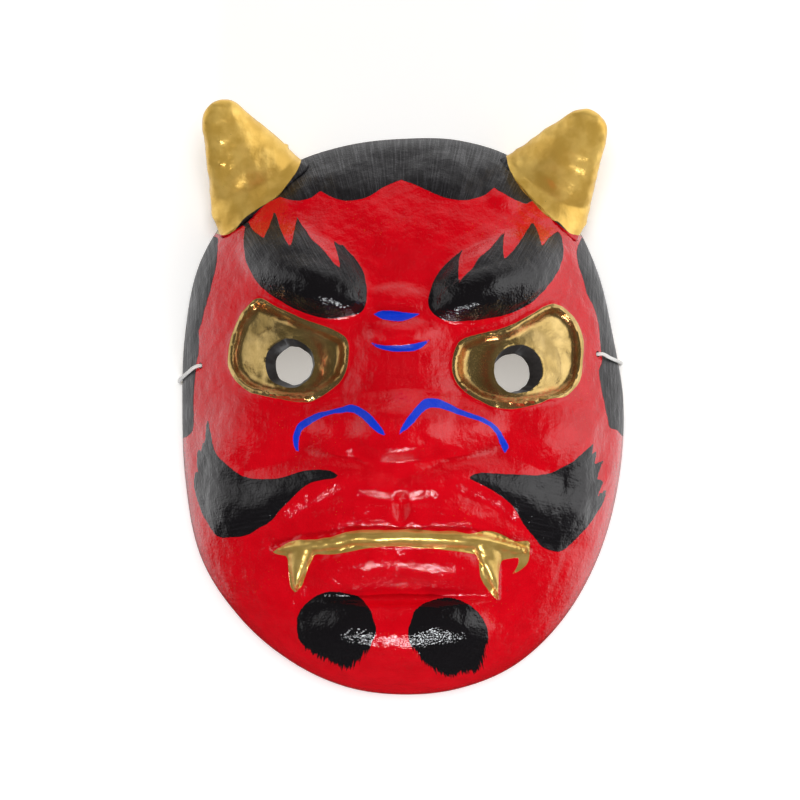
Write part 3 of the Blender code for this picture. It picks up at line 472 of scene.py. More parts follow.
def curve(knots, closed, per_piece, sharp=None):
    """Points on a smooth curve through the knots, without an open curve's last one.

    Where sharp is true, the curve keeps a corner.
    """
    count = len(knots)
    line = []
    for i in range(count if closed else count - 1):
        if closed:
            a, b, c, d = (knots[(i + k - 1) % count] for k in range(4))
        else:
            a, b, c, d = (knots[min(max(i + k - 1, 0), count - 1)] for k in range(4))
        if sharp:
            a = b if sharp[i] else a
            d = c if sharp[(i + 1) % count] else d
        line += [between(a, b, c, d, t) for t in np.arange(per_piece) / per_piece]
    return line


def smooth_line(places, closed, per_piece):
    """A smooth line, in metres, through places in shares."""
    knots = [on_face(place) for place in places]
    line = curve(knots, closed, per_piece)
    if not closed:
        line.append(knots[-1])
    return np.array(line)


def to_line(x, y, line, closed=False):
    """How far each point is from the line, and how far along it, from 0 to 1, its nearest point is."""
    ends = np.roll(line, -1, axis=0) if closed else line[1:]
    starts = line if closed else line[:-1]
    lengths = np.linalg.norm(ends - starts, axis=1)
    before = np.concatenate([[0.0], np.cumsum(lengths)])
    best = np.full(np.shape(x), np.inf)
    along = np.zeros(np.shape(x))
    for start, end, length, passed in zip(starts, ends, lengths, before):
        way = (end - start) / max(length, 1e-9)
        reach = np.clip((x - start[0]) * way[0] + (y - start[1]) * way[1], 0.0, length)
        away = np.hypot(x - start[0] - reach * way[0], y - start[1] - reach * way[1])
        along = np.where(away < best, (passed + reach) / before[-1], along)
        best = np.minimum(best, away)
    return best, along


def inside(x, y, outline):
    """Whether each point lies inside the closed outline."""
    crossed = np.zeros(np.shape(x), bool)
    for (ax, ay), (bx, by) in zip(outline, np.roll(outline, -1, axis=0)):
        spans = (ay > y) != (by > y)
        rise = by - ay if by != ay else 1e-12
        crossed ^= spans & (x < (bx - ax) * (y - ay) / rise + ax)
    return crossed


def rim_share(angle):
    """The rim's radius at an angle, against the plain ellipse."""
    step = 2 * math.pi / len(RIM_SHARES)
    at = np.mod(angle, 2 * math.pi) / step
    i = np.floor(at).astype(int)
    t = at - i
    a, b, c, d = (np.array(RIM_SHARES)[(i + k - 1) % len(RIM_SHARES)] for k in range(4))
    return between(a, b, c, d, t)


def dome_table():
    """The dome's radius and height, both from 0 to 1, against the way along its side from the top."""
    turn = np.linspace(0.0, math.pi / 2, 3001)
    radius = np.sin(turn) ** (2 / DOME_SPREAD)
    height = np.cos(turn) ** (2 / DOME_SHOULDER)
    height[-1] = 0.0
    steps = np.hypot(np.diff(radius) * HALF_WIDTH, np.diff(height) * DOME_DEPTH)
    way = np.concatenate([[0.0], np.cumsum(steps)])
    return radius, height, way


DOME_RADIUS, DOME_HEIGHT, DOME_WAY = dome_table()
UNROLL = DOME_WAY[-1] / HALF_WIDTH


def spread_of(angle):
    """Half the face's size across and along, where the angle points."""
    return HALF_WIDTH, np.where(np.sin(angle) > 0, CROWN, CHIN)


def to_flat(x, y):
    """The unrolled place of a layout point: the shell's skin pressed flat, so that spacing stays even."""
    up = np.where(y > 0, CROWN, CHIN)
    angle = np.arctan2(y / up, x / HALF_WIDTH)
    radius = np.hypot(x / HALF_WIDTH, y / up) / rim_share(angle)
    part = np.interp(radius, DOME_RADIUS, DOME_WAY / DOME_WAY[-1])
    across, along = spread_of(angle)
    return part * np.cos(angle) * across * UNROLL, part * np.sin(angle) * along * UNROLL


def way_out(p, q):
    """How far an unrolled place lies on the way from the top, 0, to the rim, 1."""
    return np.hypot(p / HALF_WIDTH, q / np.where(q > 0, CROWN, CHIN)) / UNROLL


def from_flat(p, q):
    """The layout x and y and the bare dome's height at an unrolled place, with its angle."""
    angle = np.arctan2(q / np.where(q > 0, CROWN, CHIN), p / HALF_WIDTH)
    part = np.clip(way_out(p, q), 0.0, 1.0)
    radius = np.interp(part * DOME_WAY[-1], DOME_WAY, DOME_RADIUS)
    height = np.interp(part * DOME_WAY[-1], DOME_WAY, DOME_HEIGHT) * DOME_DEPTH
    across, along = spread_of(angle)
    reach = radius * rim_share(angle)
    return reach * np.cos(angle) * across, reach * np.sin(angle) * along, height, angle, radius


def swelling(x, y, place, length, breadth, tilt, height, power):
    """One rounded swelling, or a hollow where its height is negative."""
    middle = on_face(place)
    turn = math.radians(tilt)
    across = ((x - middle[0]) * math.cos(turn) + (y - middle[1]) * math.sin(turn)) / HALF_WIDTH
    along = ((y - middle[1]) * math.cos(turn) - (x - middle[0]) * math.sin(turn)) / HALF_WIDTH
    left = 1 - (across / length) ** 2 - (along / breadth) ** 2
    left = 0.5 * (left + np.sqrt(left**2 + SOFT_EDGE**2))
    left = left - SOFT_EDGE**2 / (4 * (left + 1))
    return height * np.clip(left, 0.0, None) ** power


def ridge(away, half, height, power):
    """A rounded roll of the given half breadth along a line, by the distance from that line."""
    return height * np.clip(1 - (away / half) ** 2, 0.0, 1.0) ** power


ROLL_CURVES = tuple(smooth_line(line, False, CURVE_POINTS) for line, _, _ in ROLLS)
LIP_CURVE = smooth_line(LIP_LINE, False, CURVE_POINTS)
FANG_CURVES = tuple(smooth_line(fang, False, CURVE_POINTS) for fang in FANGS)
EYE_CURVES = tuple(smooth_line(eye, True, EYE_CURVE_POINTS) for eye, _ in EYES)


def eye_relief(x, y, outline, middle):
    """A lip round the gilt almond, a trough inside it and the ball that carries the hole."""
    away, _ = to_line(x, y, outline, closed=True)
    depth = np.where(inside(x, y, outline), away, -away) / HALF_WIDTH
    lip = EYE_LIP * np.exp(-(((depth - EYE_LIP_INSET) / EYE_LIP_SPREAD) ** 2))
    step = np.clip((depth - EYE_LIP_INSET) / EYE_TROUGH_SPAN, 0.0, 1.0)
    trough = -EYE_TROUGH * step * step * (3 - 2 * step)
    hole = on_face(middle)
    ball = 1 - (np.hypot(x - hole[0], y - hole[1]) / (EYE_BALL_SPAN * HALF_WIDTH)) ** 2
    return lip + trough + EYE_BALL * np.clip(ball, 0.0, 1.0) ** EYE_BALL_POWER * (step > 0)


def relief(x, y, carved):
    """The height of the features over the bare dome. The shell's inside has only the broad ones."""
    total = np.zeros(np.shape(x))
    for values in SWELLINGS:
        total += swelling(x, y, *values)
    for curve, (_, first, last) in zip(ROLL_CURVES, ROLLS):
        away, along = to_line(x, y, curve)
        half = (first + (last - first) * along) * HALF_WIDTH
        height = ROLL_HEIGHT * (ROLL_START + (1 - ROLL_START) * along)
        total += ridge(away, half, height, ROLL_POWER)
    if carved:
        away, along = to_line(x, y, LIP_CURVE)
        full = np.sqrt(np.sin(math.pi * along)) * LIP_FULLNESS
        half = LIP_HALF * HALF_WIDTH * np.clip(full, LIP_THINNEST, 1.0)
        band = ridge(away, half, LIP_HEIGHT, LIP_POWER)
        for fang in FANG_CURVES:
            away, along = to_line(x, y, fang)
            half = FANG_HALF * HALF_WIDTH * (1 + FANG_TIP - along)
            band = np.maximum(band, ridge(away, half, LIP_HEIGHT, LIP_POWER))
        total += band
        for outline, (_, middle) in zip(EYE_CURVES, EYES):
            total += eye_relief(x, y, outline, middle)
    return total * RELIEF_DEPTH


def skin(p, q, carved=True):
    """The shell's outer surface at unrolled places. With carved off it is the smoother one inside."""
    x, y, height, angle, radius = from_flat(p, q)
    fade = np.clip((1 - radius) / RELIEF_FADE, 0.0, 1.0)
    fade = fade * fade * (3 - 2 * fade)
    z = height + relief(x, y, carved) * fade
    for middle, half in CORD_PASSES:
        off = np.degrees(np.abs(np.angle(np.exp(1j * (angle - math.radians(middle))))))
        lift = CORD_LIFT * 0.5 * (1 + np.cos(math.pi * np.clip(off / half, 0.0, 1.0)))
        z = z + lift * np.clip(1 - z / LIFT_REACH, 0.0, 1.0) ** 2
    taper = 1 - z / FRONT_TAPER
    return np.stack([x * taper, y * taper, z], axis=-1)


def waves(seed, shortest, longest, count=48):
    """Plane waves in every direction, with lengths between two limits, that add up to a rough surface."""
    draw = np.random.default_rng(seed)
    way = draw.normal(size=(count, 3))
    way /= np.linalg.norm(way, axis=1, keepdims=True)
    length = shortest * (longest / shortest) ** draw.random(count)
    strength = length / np.sqrt((length**2).sum() / 2)
    return way * (2 * math.pi / length)[:, None], draw.random(count) * 2 * math.pi, strength


def roughness(points, seed, layers=LUMPS):
    """The unevenness at each point, in metres."""
    total = np.zeros(len(points))
    for number, (shortest, longest, height) in enumerate(layers):
        way, phase, strength = waves(seed + number, shortest, longest)
        total += height * (np.sin(points @ way.T + phase) * strength).sum(axis=1)
    return total


def vertex_normals(points, faces):
    """The outward direction at each point of a triangle mesh."""
    a, b, c = (points[faces[:, k]] for k in range(3))
    across = np.cross(b - a, c - a)
    total = np.zeros_like(points)
    for k in range(3):
        np.add.at(total, faces[:, k], across)
    return total / np.maximum(np.linalg.norm(total, axis=1, keepdims=True), 1e-12)


def add_piece(name, points, faces, finishes, picks=None, attributes=None):
    """A smooth mesh object; picks gives each face its finish and attributes holds a value per point."""
    mesh = bpy.data.meshes.new(name)
    mesh.from_pydata(np.asarray(points).tolist(), [], [list(map(int, f)) for f in faces])
    for finish in finishes:
        mesh.materials.append(finish)
    if picks is not None:
        mesh.polygons.foreach_set("material_index", np.asarray(picks, np.int32))
    for key, values in (attributes or {}).items():
        kind = "FLOAT_VECTOR" if values.ndim == 2 else "FLOAT"
        layer = mesh.attributes.new(key, kind, "POINT")
        layer.data.foreach_set("vector" if values.ndim == 2 else "value", values.astype(np.float32).ravel())
    mesh.shade_smooth()
    made = bpy.data.objects.new(name, mesh)
    bpy.context.scene.collection.objects.link(made)
    return made


# The camera, the floor and the lights.


def add_camera():
    data = bpy.data.cameras.new("camera")
    data.sensor_width = SENSOR
    data.lens = SENSOR / VIEW_WIDTH * CAMERA[2]
    made = bpy.data.objects.new("camera", data)
    made.location = CAMERA
    bpy.context.scene.collection.objects.link(made)
    bpy.context.scene.camera = made


def add_light(name, place, size, power, colour, shown):
    data = bpy.data.lights.new(name, "AREA")
    data.shape = "RECTANGLE"
    data.size, data.size_y = size
    data.energy = power
    data.color = colour
    made = bpy.data.objects.new(name, data)
    made.location = place
    made.rotation_euler = (Vector(LIGHT_AIM) - Vector(place)).to_track_quat("-Z", "Y").to_euler()
    made.visible_glossy = shown
    bpy.context.scene.collection.objects.link(made)


def add_room_glow():
    world = bpy.data.worlds.new("studio")
    world.use_nodes = True
    sky = Nodes(world.node_tree)
    place = sky.add("ShaderNodeTexCoord", {})
    parts = sky.add("ShaderNodeSeparateXYZ", {0: place}).node.outputs
    upper = sky.math("MULTIPLY", parts["Y"], GLOW_UPPER_SHARE)
    reach = sky.math("MAXIMUM", sky.math("ABSOLUTE", parts["X"]), upper)
    for axis, operation, share in GLOW_LEANS:
        reach = sky.math("MULTIPLY_ADD", sky.math(operation, parts[axis], 0.0), share, reach)
    limits = {"From Min": GLOW_FROM, "From Max": GLOW_TO, "To Min": GLOW_OVERHEAD, "To Max": GLOW_SIDES}
    glow = sky.add("ShaderNodeMapRange", {"Value": reach, **limits})
    background = sky.tree.nodes["Background"]
    sky.put(background.inputs["Color"], GLOW_COLOUR)
    sky.put(background.inputs["Strength"], glow)
    bpy.context.scene.world = world


def add_floor():
    corners = [(FLOOR_HALF * x, FLOOR_HALF * y, 0.0) for x, y in ((-1, -1), (1, -1), (1, 1), (-1, 1))]
    shader = Shader("pale_floor")
    plaster = shader.noise(shader.place(), 6.0)
    shader.surface(shader.mix(plaster, (0.93, 0.925, 0.915), (0.92, 0.915, 0.905)), 0.8)
    shader.put(shader.principled.inputs["Emission Color"], (1.0, 1.0, 1.0))
    shader.put(shader.principled.inputs["Emission Strength"], FLOOR_GLOW)
    floor = add_piece("floor", corners, [(0, 1, 2, 3)], [shader.material])
    floor.location.z = -FLOOR_DROP
    floor.visible_glossy = False


def add_surroundings():
    add_room_glow()
    bpy.context.scene.view_settings.view_transform = "Standard"
    add_floor()
    for values in LIGHTS:
        add_light(*values)


# Materials.


class Nodes:
    """A node tree whose nodes are added one at a time."""

    def __init__(self, tree):
        self.tree = tree

    def add(self, kind, inputs, output=0, **settings):
        node = self.tree.nodes.new(kind)
        for key, value in settings.items():
            setattr(node, key, value)
        for key, value in inputs.items():
            self.put(node.inputs[key], value)
        return node.outputs[output]

    def put(self, socket, value):
        if isinstance(value, bpy.types.NodeSocket):
            self.tree.links.new(value, socket)
        elif isinstance(value, tuple) and len(value) == 3 and socket.type == "RGBA":
            socket.default_value = (*value, 1.0)
        else:
            socket.default_value = value

    def math(self, operation, first, second=0.0, third=0.0):
        return self.add("ShaderNodeMath", {0: first, 1: second, 2: third}, operation=operation)

    def step(self, value, low, high, start=0.0, end=1.0):
        """A soft step from start to end as the value goes from low to high."""
        inputs = {"Value": value, "From Min": low, "From Max": high, "To Min": start, "To Max": end}
        return self.add("ShaderNodeMapRange", inputs, interpolation_type="SMOOTHSTEP")


class Shader(Nodes):
    """A material whose nodes are added the same way."""

    def __init__(self, name):
        self.material = bpy.data.materials.new(name)
        self.material.use_nodes = True
        super().__init__(self.material.node_tree)
        self.principled = self.tree.nodes["Principled BSDF"]

    def mix(self, factor, first, second):
        return self.add("ShaderNodeMix", {0: factor, 6: first, 7: second}, output=2, data_type="RGBA")

    def value(self, name):
        return self.add("ShaderNodeAttribute", {}, output=2, attribute_name=name)

    def vector(self, name):
        return self.add("ShaderNodeAttribute", {}, output=1, attribute_name=name)

    def place(self):
        return self.add("ShaderNodeTexCoord", {}, output=3)

    def scaled(self, vector, scale):
        return self.add("ShaderNodeMapping", {"Vector": vector, "Scale": scale})

    def noise(self, vector, scale, detail=2.0, roughness=0.5):
        inputs = {"Vector": vector, "Scale": scale, "Detail": detail, "Roughness": roughness}
        return self.add("ShaderNodeTexNoise", inputs)

    def cells(self, vector, scale):
        return self.add("ShaderNodeTexVoronoi", {"Vector": vector, "Scale": scale})

    def spots(self, vector, scale, edge, core, patch_scale, low, high):
        """Small round spots that come in patches."""
        patches = self.step(self.noise(vector, patch_scale), low, high)
        return self.math("MULTIPLY", self.step(self.cells(vector, scale), edge, core), patches)

    def bump(self, height, distance, strength=1.0, under=None):
        inputs = {"Height": height, "Distance": distance, "Strength": strength}
        if under is not None:
            inputs["Normal"] = under
        return self.add("ShaderNodeBump", inputs)

    def surface(self, base, roughness, metallic=0.0, normal=None, coat=0.0, coat_roughness=0.1, **more):
        wanted = {"Base Color": base, "Roughness": roughness, "Metallic": metallic}
        wanted |= {"Coat Weight": coat, "Coat Roughness": coat_roughness, **more}
        if normal is not None:
            wanted["Normal"] = normal
        for key, value in wanted.items():
            self.put(self.principled.inputs[key], value)


def painted_finish():
    """Lacquered paper: red all over, then black, gilt and blue inside their outlines, with a painted sheen
    on the black's brush strokes and a painted reflection of the red in the gilt eyes.
    """
    shader = Shader("painted_lacquer")
    place = shader.place()
    comb = shader.vector("comb")
    fine = shader.noise(place, 900.0, 3.0)
    coarse = shader.noise(place, 130.0, 3.0)
    bristle = shader.noise(shader.scaled(comb, (1.4, 0.08, 1.0)), 1.0, 4.0, 0.65)
    wobble = shader.math("MULTIPLY", shader.math("SUBTRACT", coarse, 0.5), 0.7)
    ragged = shader.math("MULTIPLY", shader.math("SUBTRACT", bristle, 0.5), shader.value("ragged"))

    def mask(name, width, rough):
        away = shader.math("ADD", shader.value(name), wobble)
        if rough:
            away = shader.math("ADD", away, ragged)
        return shader.step(away, -width, width)

    black, gold, blue = mask("black", 0.14, True), mask("gold", 0.14, False), mask("blue", 0.14, True)
    streaks = shader.noise(shader.scaled(place, (750.0, 75.0, 200.0)), 1.0, 4.0, 0.65)
    wrinkles = shader.noise(place, 620.0, 2.0, 0.6)
    cells = shader.cells(place, 1000.0)
    red = shader.mix(shader.step(coarse, 0.3, 0.7), (0.62, 0.0012, 0.007), (0.69, 0.002, 0.009))
    red = shader.mix(shader.step(streaks, 0.55, 0.85, 0.0, 0.5), red, (0.46, 0.001, 0.006))
    pits = shader.spots(place, 420.0, 0.10, 0.02, 60.0, 0.52, 0.60)
    red = shader.mix(shader.math("MULTIPLY", pits, 0.6), red, (0.20, 0.004, 0.006))
    flecks = shader.spots(place, 700.0, 0.12, 0.05, 45.0, 0.56, 0.64)
    red = shader.mix(shader.math("MULTIPLY", flecks, 0.7), red, (0.80, 0.28, 0.04))
    # Painted sheen: lighter grey along the brush strokes in the black wherever the hair value is raised, on
    # the cap, the side bands and the brows' upper parts.
    painted_stroke_sheen = shader.step(bristle, 0.46, 0.68)
    painted_stroke_sheen = shader.math("MULTIPLY", painted_stroke_sheen, shader.value("hair"))
    dark = shader.mix(painted_stroke_sheen, (0.008, 0.007, 0.008), (0.034, 0.032, 0.036))
    grain = shader.value("grain")
    leaf = shader.mix(shader.step(coarse, 0.35, 0.7), (0.48, 0.33, 0.11), (0.66, 0.47, 0.18))
    rich = shader.mix(shader.step(coarse, 0.35, 0.7), (0.80, 0.49, 0.09), (1.00, 0.66, 0.16))
    gilt = shader.mix(grain, leaf, rich)
    # Painted reflection: the red lacquer's reddish brown, painted into the gilding in the eyes' troughs and
    # round one side of each hole.
    painted_red_reflection = shader.math("MULTIPLY", shader.value("painted_red_reflection"), shader.step(fine, 0.35, 0.60, 0.35, 1.0))
    gilt = shader.mix(painted_red_reflection, gilt, (0.60, 0.15, 0.05))
    specks = shader.math("MULTIPLY", shader.spots(place, 520.0, 0.09, 0.03, 120.0, 0.54, 0.62), grain)
    gilt = shader.mix(specks, gilt, (0.20, 0.12, 0.03))
    colour = shader.mix(black, red, dark)
    colour = shader.mix(blue, colour, (0.0008, 0.040, 0.66))
    colour = shader.mix(gold, colour, gilt)
    bare = shader.math("SUBTRACT", 1.0, gold)
    black = shader.math("MULTIPLY", black, bare)
    hair = shader.math("MULTIPLY", black, shader.value("hair"))
    wet = shader.math("SUBTRACT", black, hair)
    rough = shader.step(streaks, 0.25, 0.75, 0.055, 0.14)
    brushed = shader.math("MULTIPLY", hair, shader.step(bristle, 0.40, 0.65, 0.52, 0.34))
    rough = shader.math("MAXIMUM", rough, brushed)
    rough = shader.math("MAXIMUM", rough, shader.math("MULTIPLY", blue, 0.42))
    satin = shader.math("MULTIPLY_ADD", grain, 0.10, 0.20)
    rough = shader.math("MAXIMUM", rough, shader.math("MULTIPLY", gold, satin))
    normal = shader.bump(coarse, 0.00045, 0.7)
    red_only = shader.math("SUBTRACT", bare, black)
    normal = shader.bump(shader.math("MULTIPLY", streaks, red_only), 0.00016, 0.8, normal)
    normal = shader.bump(shader.math("MULTIPLY", wrinkles, bare), 0.00028, 0.9, normal)
    normal = shader.bump(shader.math("MULTIPLY", cells, wet), 0.00011, 0.9, normal)
    normal = shader.bump(shader.math("MULTIPLY", bristle, hair), 0.00045, 0.9, normal)
    normal = shader.bump(shader.math("MULTIPLY", fine, gold), 0.00009, 0.9, normal)
    metal = shader.math("MULTIPLY_ADD", grain, -0.37, 0.84)
    shader.surface(colour, rough, shader.math("MULTIPLY", gold, metal), normal)
    return shader.material


def hole_finish():
    """Black paint on the cut wall of an eye hole."""
    shader = Shader("black_hole_edge")
    grain = shader.noise(shader.place(), 700.0, 3.0)
    colour = shader.mix(grain, (0.008, 0.007, 0.007), (0.035, 0.030, 0.028))
    shader.surface(colour, 0.45, normal=shader.bump(grain, 0.0001))
    return shader.material


def paper_finish():
    """The bare inside: torn strips of old paper under thin paste."""
    shader = Shader("bare_paper")
    place = shader.place()
    strips = shader.cells(shader.scaled(place, (1.0, 2.2, 1.0)), 26.0)
    fibres = shader.noise(shader.scaled(place, (160.0, 900.0, 900.0)), 1.0, 4.0, 0.6)
    stain = shader.noise(place, 35.0, 4.0)
    colour = shader.mix(shader.step(stain, 0.3, 0.7), (0.56, 0.49, 0.39), (0.70, 0.64, 0.54))
    colour = shader.mix(shader.step(strips, 0.2, 0.9, 0.0, 0.35), colour, (0.47, 0.40, 0.31))
    colour = shader.mix(shader.step(fibres, 0.6, 0.8, 0.0, 0.5), colour, (0.36, 0.29, 0.21))
    normal = shader.bump(strips, 0.0005, 0.5)
    normal = shader.bump(fibres, 0.00012, 0.7, normal)
    shader.surface(colour, 0.88, normal=normal)
    return shader.material


def elastic_finish():
    """A white braided cover, a little soiled."""
    shader = Shader("white_braid")
    place = shader.place()
    soil = shader.noise(place, 90.0, 3.0)
    thread = shader.noise(place, 2600.0, 2.0)
    colour = shader.mix(shader.step(soil, 0.35, 0.75), (0.90, 0.89, 0.87), (0.78, 0.76, 0.72))
    shader.surface(colour, 0.8, normal=shader.bump(thread, 0.00004))
    return shader.material


# The elastic cord and its knots.


def smooth_route(places, step):
    """Points an even step apart on a smooth curve through the places, and how far along each one is."""
    knots = np.array(places)
    line = np.array(curve(knots, False, CORD_PIECE) + [knots[-1]])
    way = np.concatenate([[0.0], np.cumsum(np.linalg.norm(np.diff(line, axis=0), axis=1))])
    stops = np.linspace(0.0, way[-1], round(way[-1] / step) + 1)
    return np.stack([np.interp(stops, way, line[:, k]) for k in range(3)], axis=-1), stops


def tube(route, stops, radius, sides, braid):
    """Points and faces of a closed tube whose braid stands out a little."""
    heading = np.gradient(route, axis=0)
    heading /= np.linalg.norm(heading, axis=1, keepdims=True)
    side = np.cross(heading[0], (0.0, 0.0, 1.0))
    side /= np.linalg.norm(side)
    turn = 2 * math.pi * np.arange(sides) / sides
    rings = []
    for middle, way, stop in zip(route, heading, stops):
        side = side - way * (side @ way)
        side /= np.linalg.norm(side)
        other = np.cross(way, side)
        twist = stop / (radius * BRAID_PITCH) * 2 * math.pi
        raised = np.abs(np.sin(3 * turn + twist)) + np.abs(np.sin(3 * turn - twist))
        reach = radius * (1 - braid + braid * raised / 2)
        rings.append(middle + np.outer(np.cos(turn) * reach, side) + np.outer(np.sin(turn) * reach, other))
    points = np.concatenate([*rings, route[:1], route[-1:]])
    faces = []
    for ring in range(len(route) - 1):
        for i in range(sides):
            a, b = ring * sides, ring * sides + (i + 1) % sides
            faces.append((a + i, b, b + sides, a + i + sides))
    first, last = len(points) - 2, len(points) - 1
    end = (len(route) - 1) * sides
    faces += [(first, (i + 1) % sides, i) for i in range(sides)]
    faces += [(last, end + i, end + (i + 1) % sides) for i in range(sides)]
    return points, faces


def add_knot(name, node, finish):
    """An overhand knot tied in the cord's end, inside the room of the solid knot."""
    low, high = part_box(node)
    middle = (np.array(low) + np.array(high)) / 2
    turn = np.linspace(0.0, 2 * math.pi, KNOT_POINTS)
    knot = np.stack([
        np.sin(turn) + 2 * np.sin(2 * turn),
        np.cos(turn) - 2 * np.cos(2 * turn),
        -KNOT_HEIGHT * np.sin(3 * turn),
    ], axis=-1) * KNOT_TURN / 3 + middle
    made = add_piece(name, *tube(knot, np.zeros(len(knot)), KNOT_STRAND, KNOT_SIDES, 0.0), [finish])
    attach(made, "root")
    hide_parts(node)
    return made


def add_cord():
    finish = elastic_finish()
    knots = [add_knot("tied_" + node, node, finish) for node in ("knot_left", "knot_right")]
    route, stops = smooth_route(CORD_ROUTE, CORD_STEP)
    shape = tube(route, stops, CORD_DIAMETER / 2, CORD_SIDES, CORD_BRAID)
    cord = add_piece("elastic_cord", *shape, [finish])
    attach(cord, "root")
    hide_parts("cord")


# The shell.


def hole_rings():
    """For each hole, its ring of unrolled places outside and inside the shell."""
    rings = []
    turn = 2 * math.pi * np.arange(EYE_POINTS) / EYE_POINTS
    for number, (_, place) in enumerate(EYES):
        middle = on_face(place)
        pair = []
        way, phase, strength = waves(101 + 7 * number, *EYE_HOLE_WAVES)
        around = np.stack([np.cos(turn), np.sin(turn), 0 * turn], axis=-1) * EYE_HOLE_WAVE_SPAN
        shifts = ((0.0, 0.0), EYE_HOLE_SHIFTS[number])
        for width, shift, ragged in zip((EYE_HOLE, EYE_HOLE_INSIDE), shifts, EYE_HOLE_RAGGED):
            reach = width / 2 - ragged * (np.sin(around @ way.T + phase) * strength).sum(axis=1)
            x = middle[0] + shift[0] + reach * np.cos(turn)
            y = middle[1] + shift[1] + reach * np.sin(turn)
            pair.append(np.stack(to_flat(x, y), axis=-1))
        rings.append(pair)
    for place in CORD_HOLES:
        middle = np.array(to_flat(*on_face(place)))
        turn = 2 * math.pi * np.arange(CORD_HOLE_POINTS) / CORD_HOLE_POINTS
        ring = middle + CORD_HOLE / 2 * np.stack([np.cos(turn), np.sin(turn)], axis=-1)
        rings.append([ring, ring])
    return rings


def rim_line():
    """The unrolled places of the rim."""
    angle = 2 * math.pi * np.arange(RIM_POINTS) / RIM_POINTS
    across, along = spread_of(angle)
    return np.stack([np.cos(angle) * across, np.sin(angle) * along], axis=-1) * UNROLL


def grid(step, low, high, rings):
    """A triangular grid of unrolled places between two shares of the way from the top to the rim."""
    reach = max(HALF_WIDTH, CROWN, CHIN) * UNROLL
    rows = np.arange(-reach, reach, step * math.sqrt(0.75))
    p = np.arange(-reach, reach, step)
    p = p[None, :] + (np.arange(len(rows)) % 2)[:, None] * step / 2
    q = np.broadcast_to(rows[:, None], p.shape)
    part = way_out(p, q)
    kept = (part >= low) & (part < high)
    p, q = p[kept], q[kept]
    for ring in rings:
        away, _ = to_line(p, q, ring, closed=True)
        clear = ~inside(p, q, ring) & (away > step * 0.6)
        p, q = p[clear], q[clear]
    return np.stack([p, q], axis=-1)


def triangles(points, rings):
    """A Delaunay triangulation of unrolled places, open at the hole rings."""
    loops = []
    start = RIM_POINTS
    for ring in rings:
        loops.append(list(range(start, start + len(ring))))
        start += len(ring)
    edges = [(i, (i + 1) % RIM_POINTS) for i in range(RIM_POINTS)]
    for loop in loops:
        edges += list(zip(loop, loop[1:] + loop[:1]))
    flat = [Vector(place) for place in points.tolist()]
    _, _, faces, origins, _, _ = delaunay_2d_cdt(flat, edges, [], 0, 1e-9)
    names = np.array([origin[0] for origin in origins])
    faces = names[np.array(faces)]
    for loop in loops:
        faces = faces[~np.isin(faces, loop).all(axis=1)]
    a, b, c = (points[faces[:, k]] for k in range(3))
    turn = (b[:, 0] - a[:, 0]) * (c[:, 1] - a[:, 1]) - (b[:, 1] - a[:, 1]) * (c[:, 0] - a[:, 0])
    faces[turn < 0] = faces[turn < 0][:, ::-1]
    return faces, loops


def smooth_outline(places, closed=True):
    """A smooth line, in metres, through places in millimetres. It keeps the marked corners sharp."""
    knots = np.array([place[:2] for place in places]) * 0.001
    sharp = [len(place) > 2 for place in places]
    return np.array(curve(knots, closed, CURVE_POINTS, sharp))


def depth_in(x, y, places):
    """How far inside a painted outline each layout place lies, in millimetres; less than 0 outside."""
    line = smooth_outline(places)
    away, _ = to_line(x, y, line, closed=True)
    return np.where(inside(x, y, line), away, -away) * 1000


# (outline, the direction of the brush in degrees, how ragged, how matte and so how much painted sheen its
# strokes get)
BLACKS = (
    (HAIR_CAP, 90, 0.5, 1.0), (LEFT_SIDE, 90, 0.7, 0.9), (RIGHT_SIDE, 90, 0.7, 0.9),
    (LEFT_BROW, -60, 0.4, 0.0), (RIGHT_BROW, 60, 0.4, 0.0),
    (LEFT_MOUSTACHE, 12, 0.8, 0.3), (RIGHT_MOUSTACHE, -12, 0.8, 0.3),
    (LEFT_CHIN, 80, 1.0, 0.0), (RIGHT_CHIN, 100, 1.0, 0.0),
)
GOLDS = (LEFT_GILT, RIGHT_GILT, LIP, LEFT_HORN, RIGHT_HORN)
BLUES = (UPPER_BLUE, LOWER_BLUE, LEFT_ARC, RIGHT_ARC)


def eye_painted_reflection(x, y):
    """How strong the painted reflection of the red lacquer is on the eyes' gilding: in the trough inside
    the rim, and below each hole.
    """
    total = np.zeros(len(x))
    for outline, (_, place), side in zip((LEFT_GILT, RIGHT_GILT), EYES, (-1.0, 1.0)):
        middle = on_face(place)
        out, up = (x - middle[0]) * side * 1000, (y - middle[1]) * 1000
        away = np.hypot(out, up)
        depth = depth_in(x, y, outline)
        most, middle_depth, spread = TROUGH_REFLECTION
        trough = most * np.exp(-(((depth - middle_depth) / spread) ** 2))
        most, middle_gap, spread = RING_REFLECTION
        gap = away - EYE_HOLE * 500
        lean = (RING_REFLECTION_LEAN[0] * out + RING_REFLECTION_LEAN[1] * up) / away
        side_share = np.clip(RING_REFLECTION_EVEN - lean, 0.0, most)
        ring = np.exp(-(((gap - middle_gap) / spread) ** 2)) * side_share
        total = np.maximum(total, np.maximum(trough, ring) * (depth > 0))
    return total


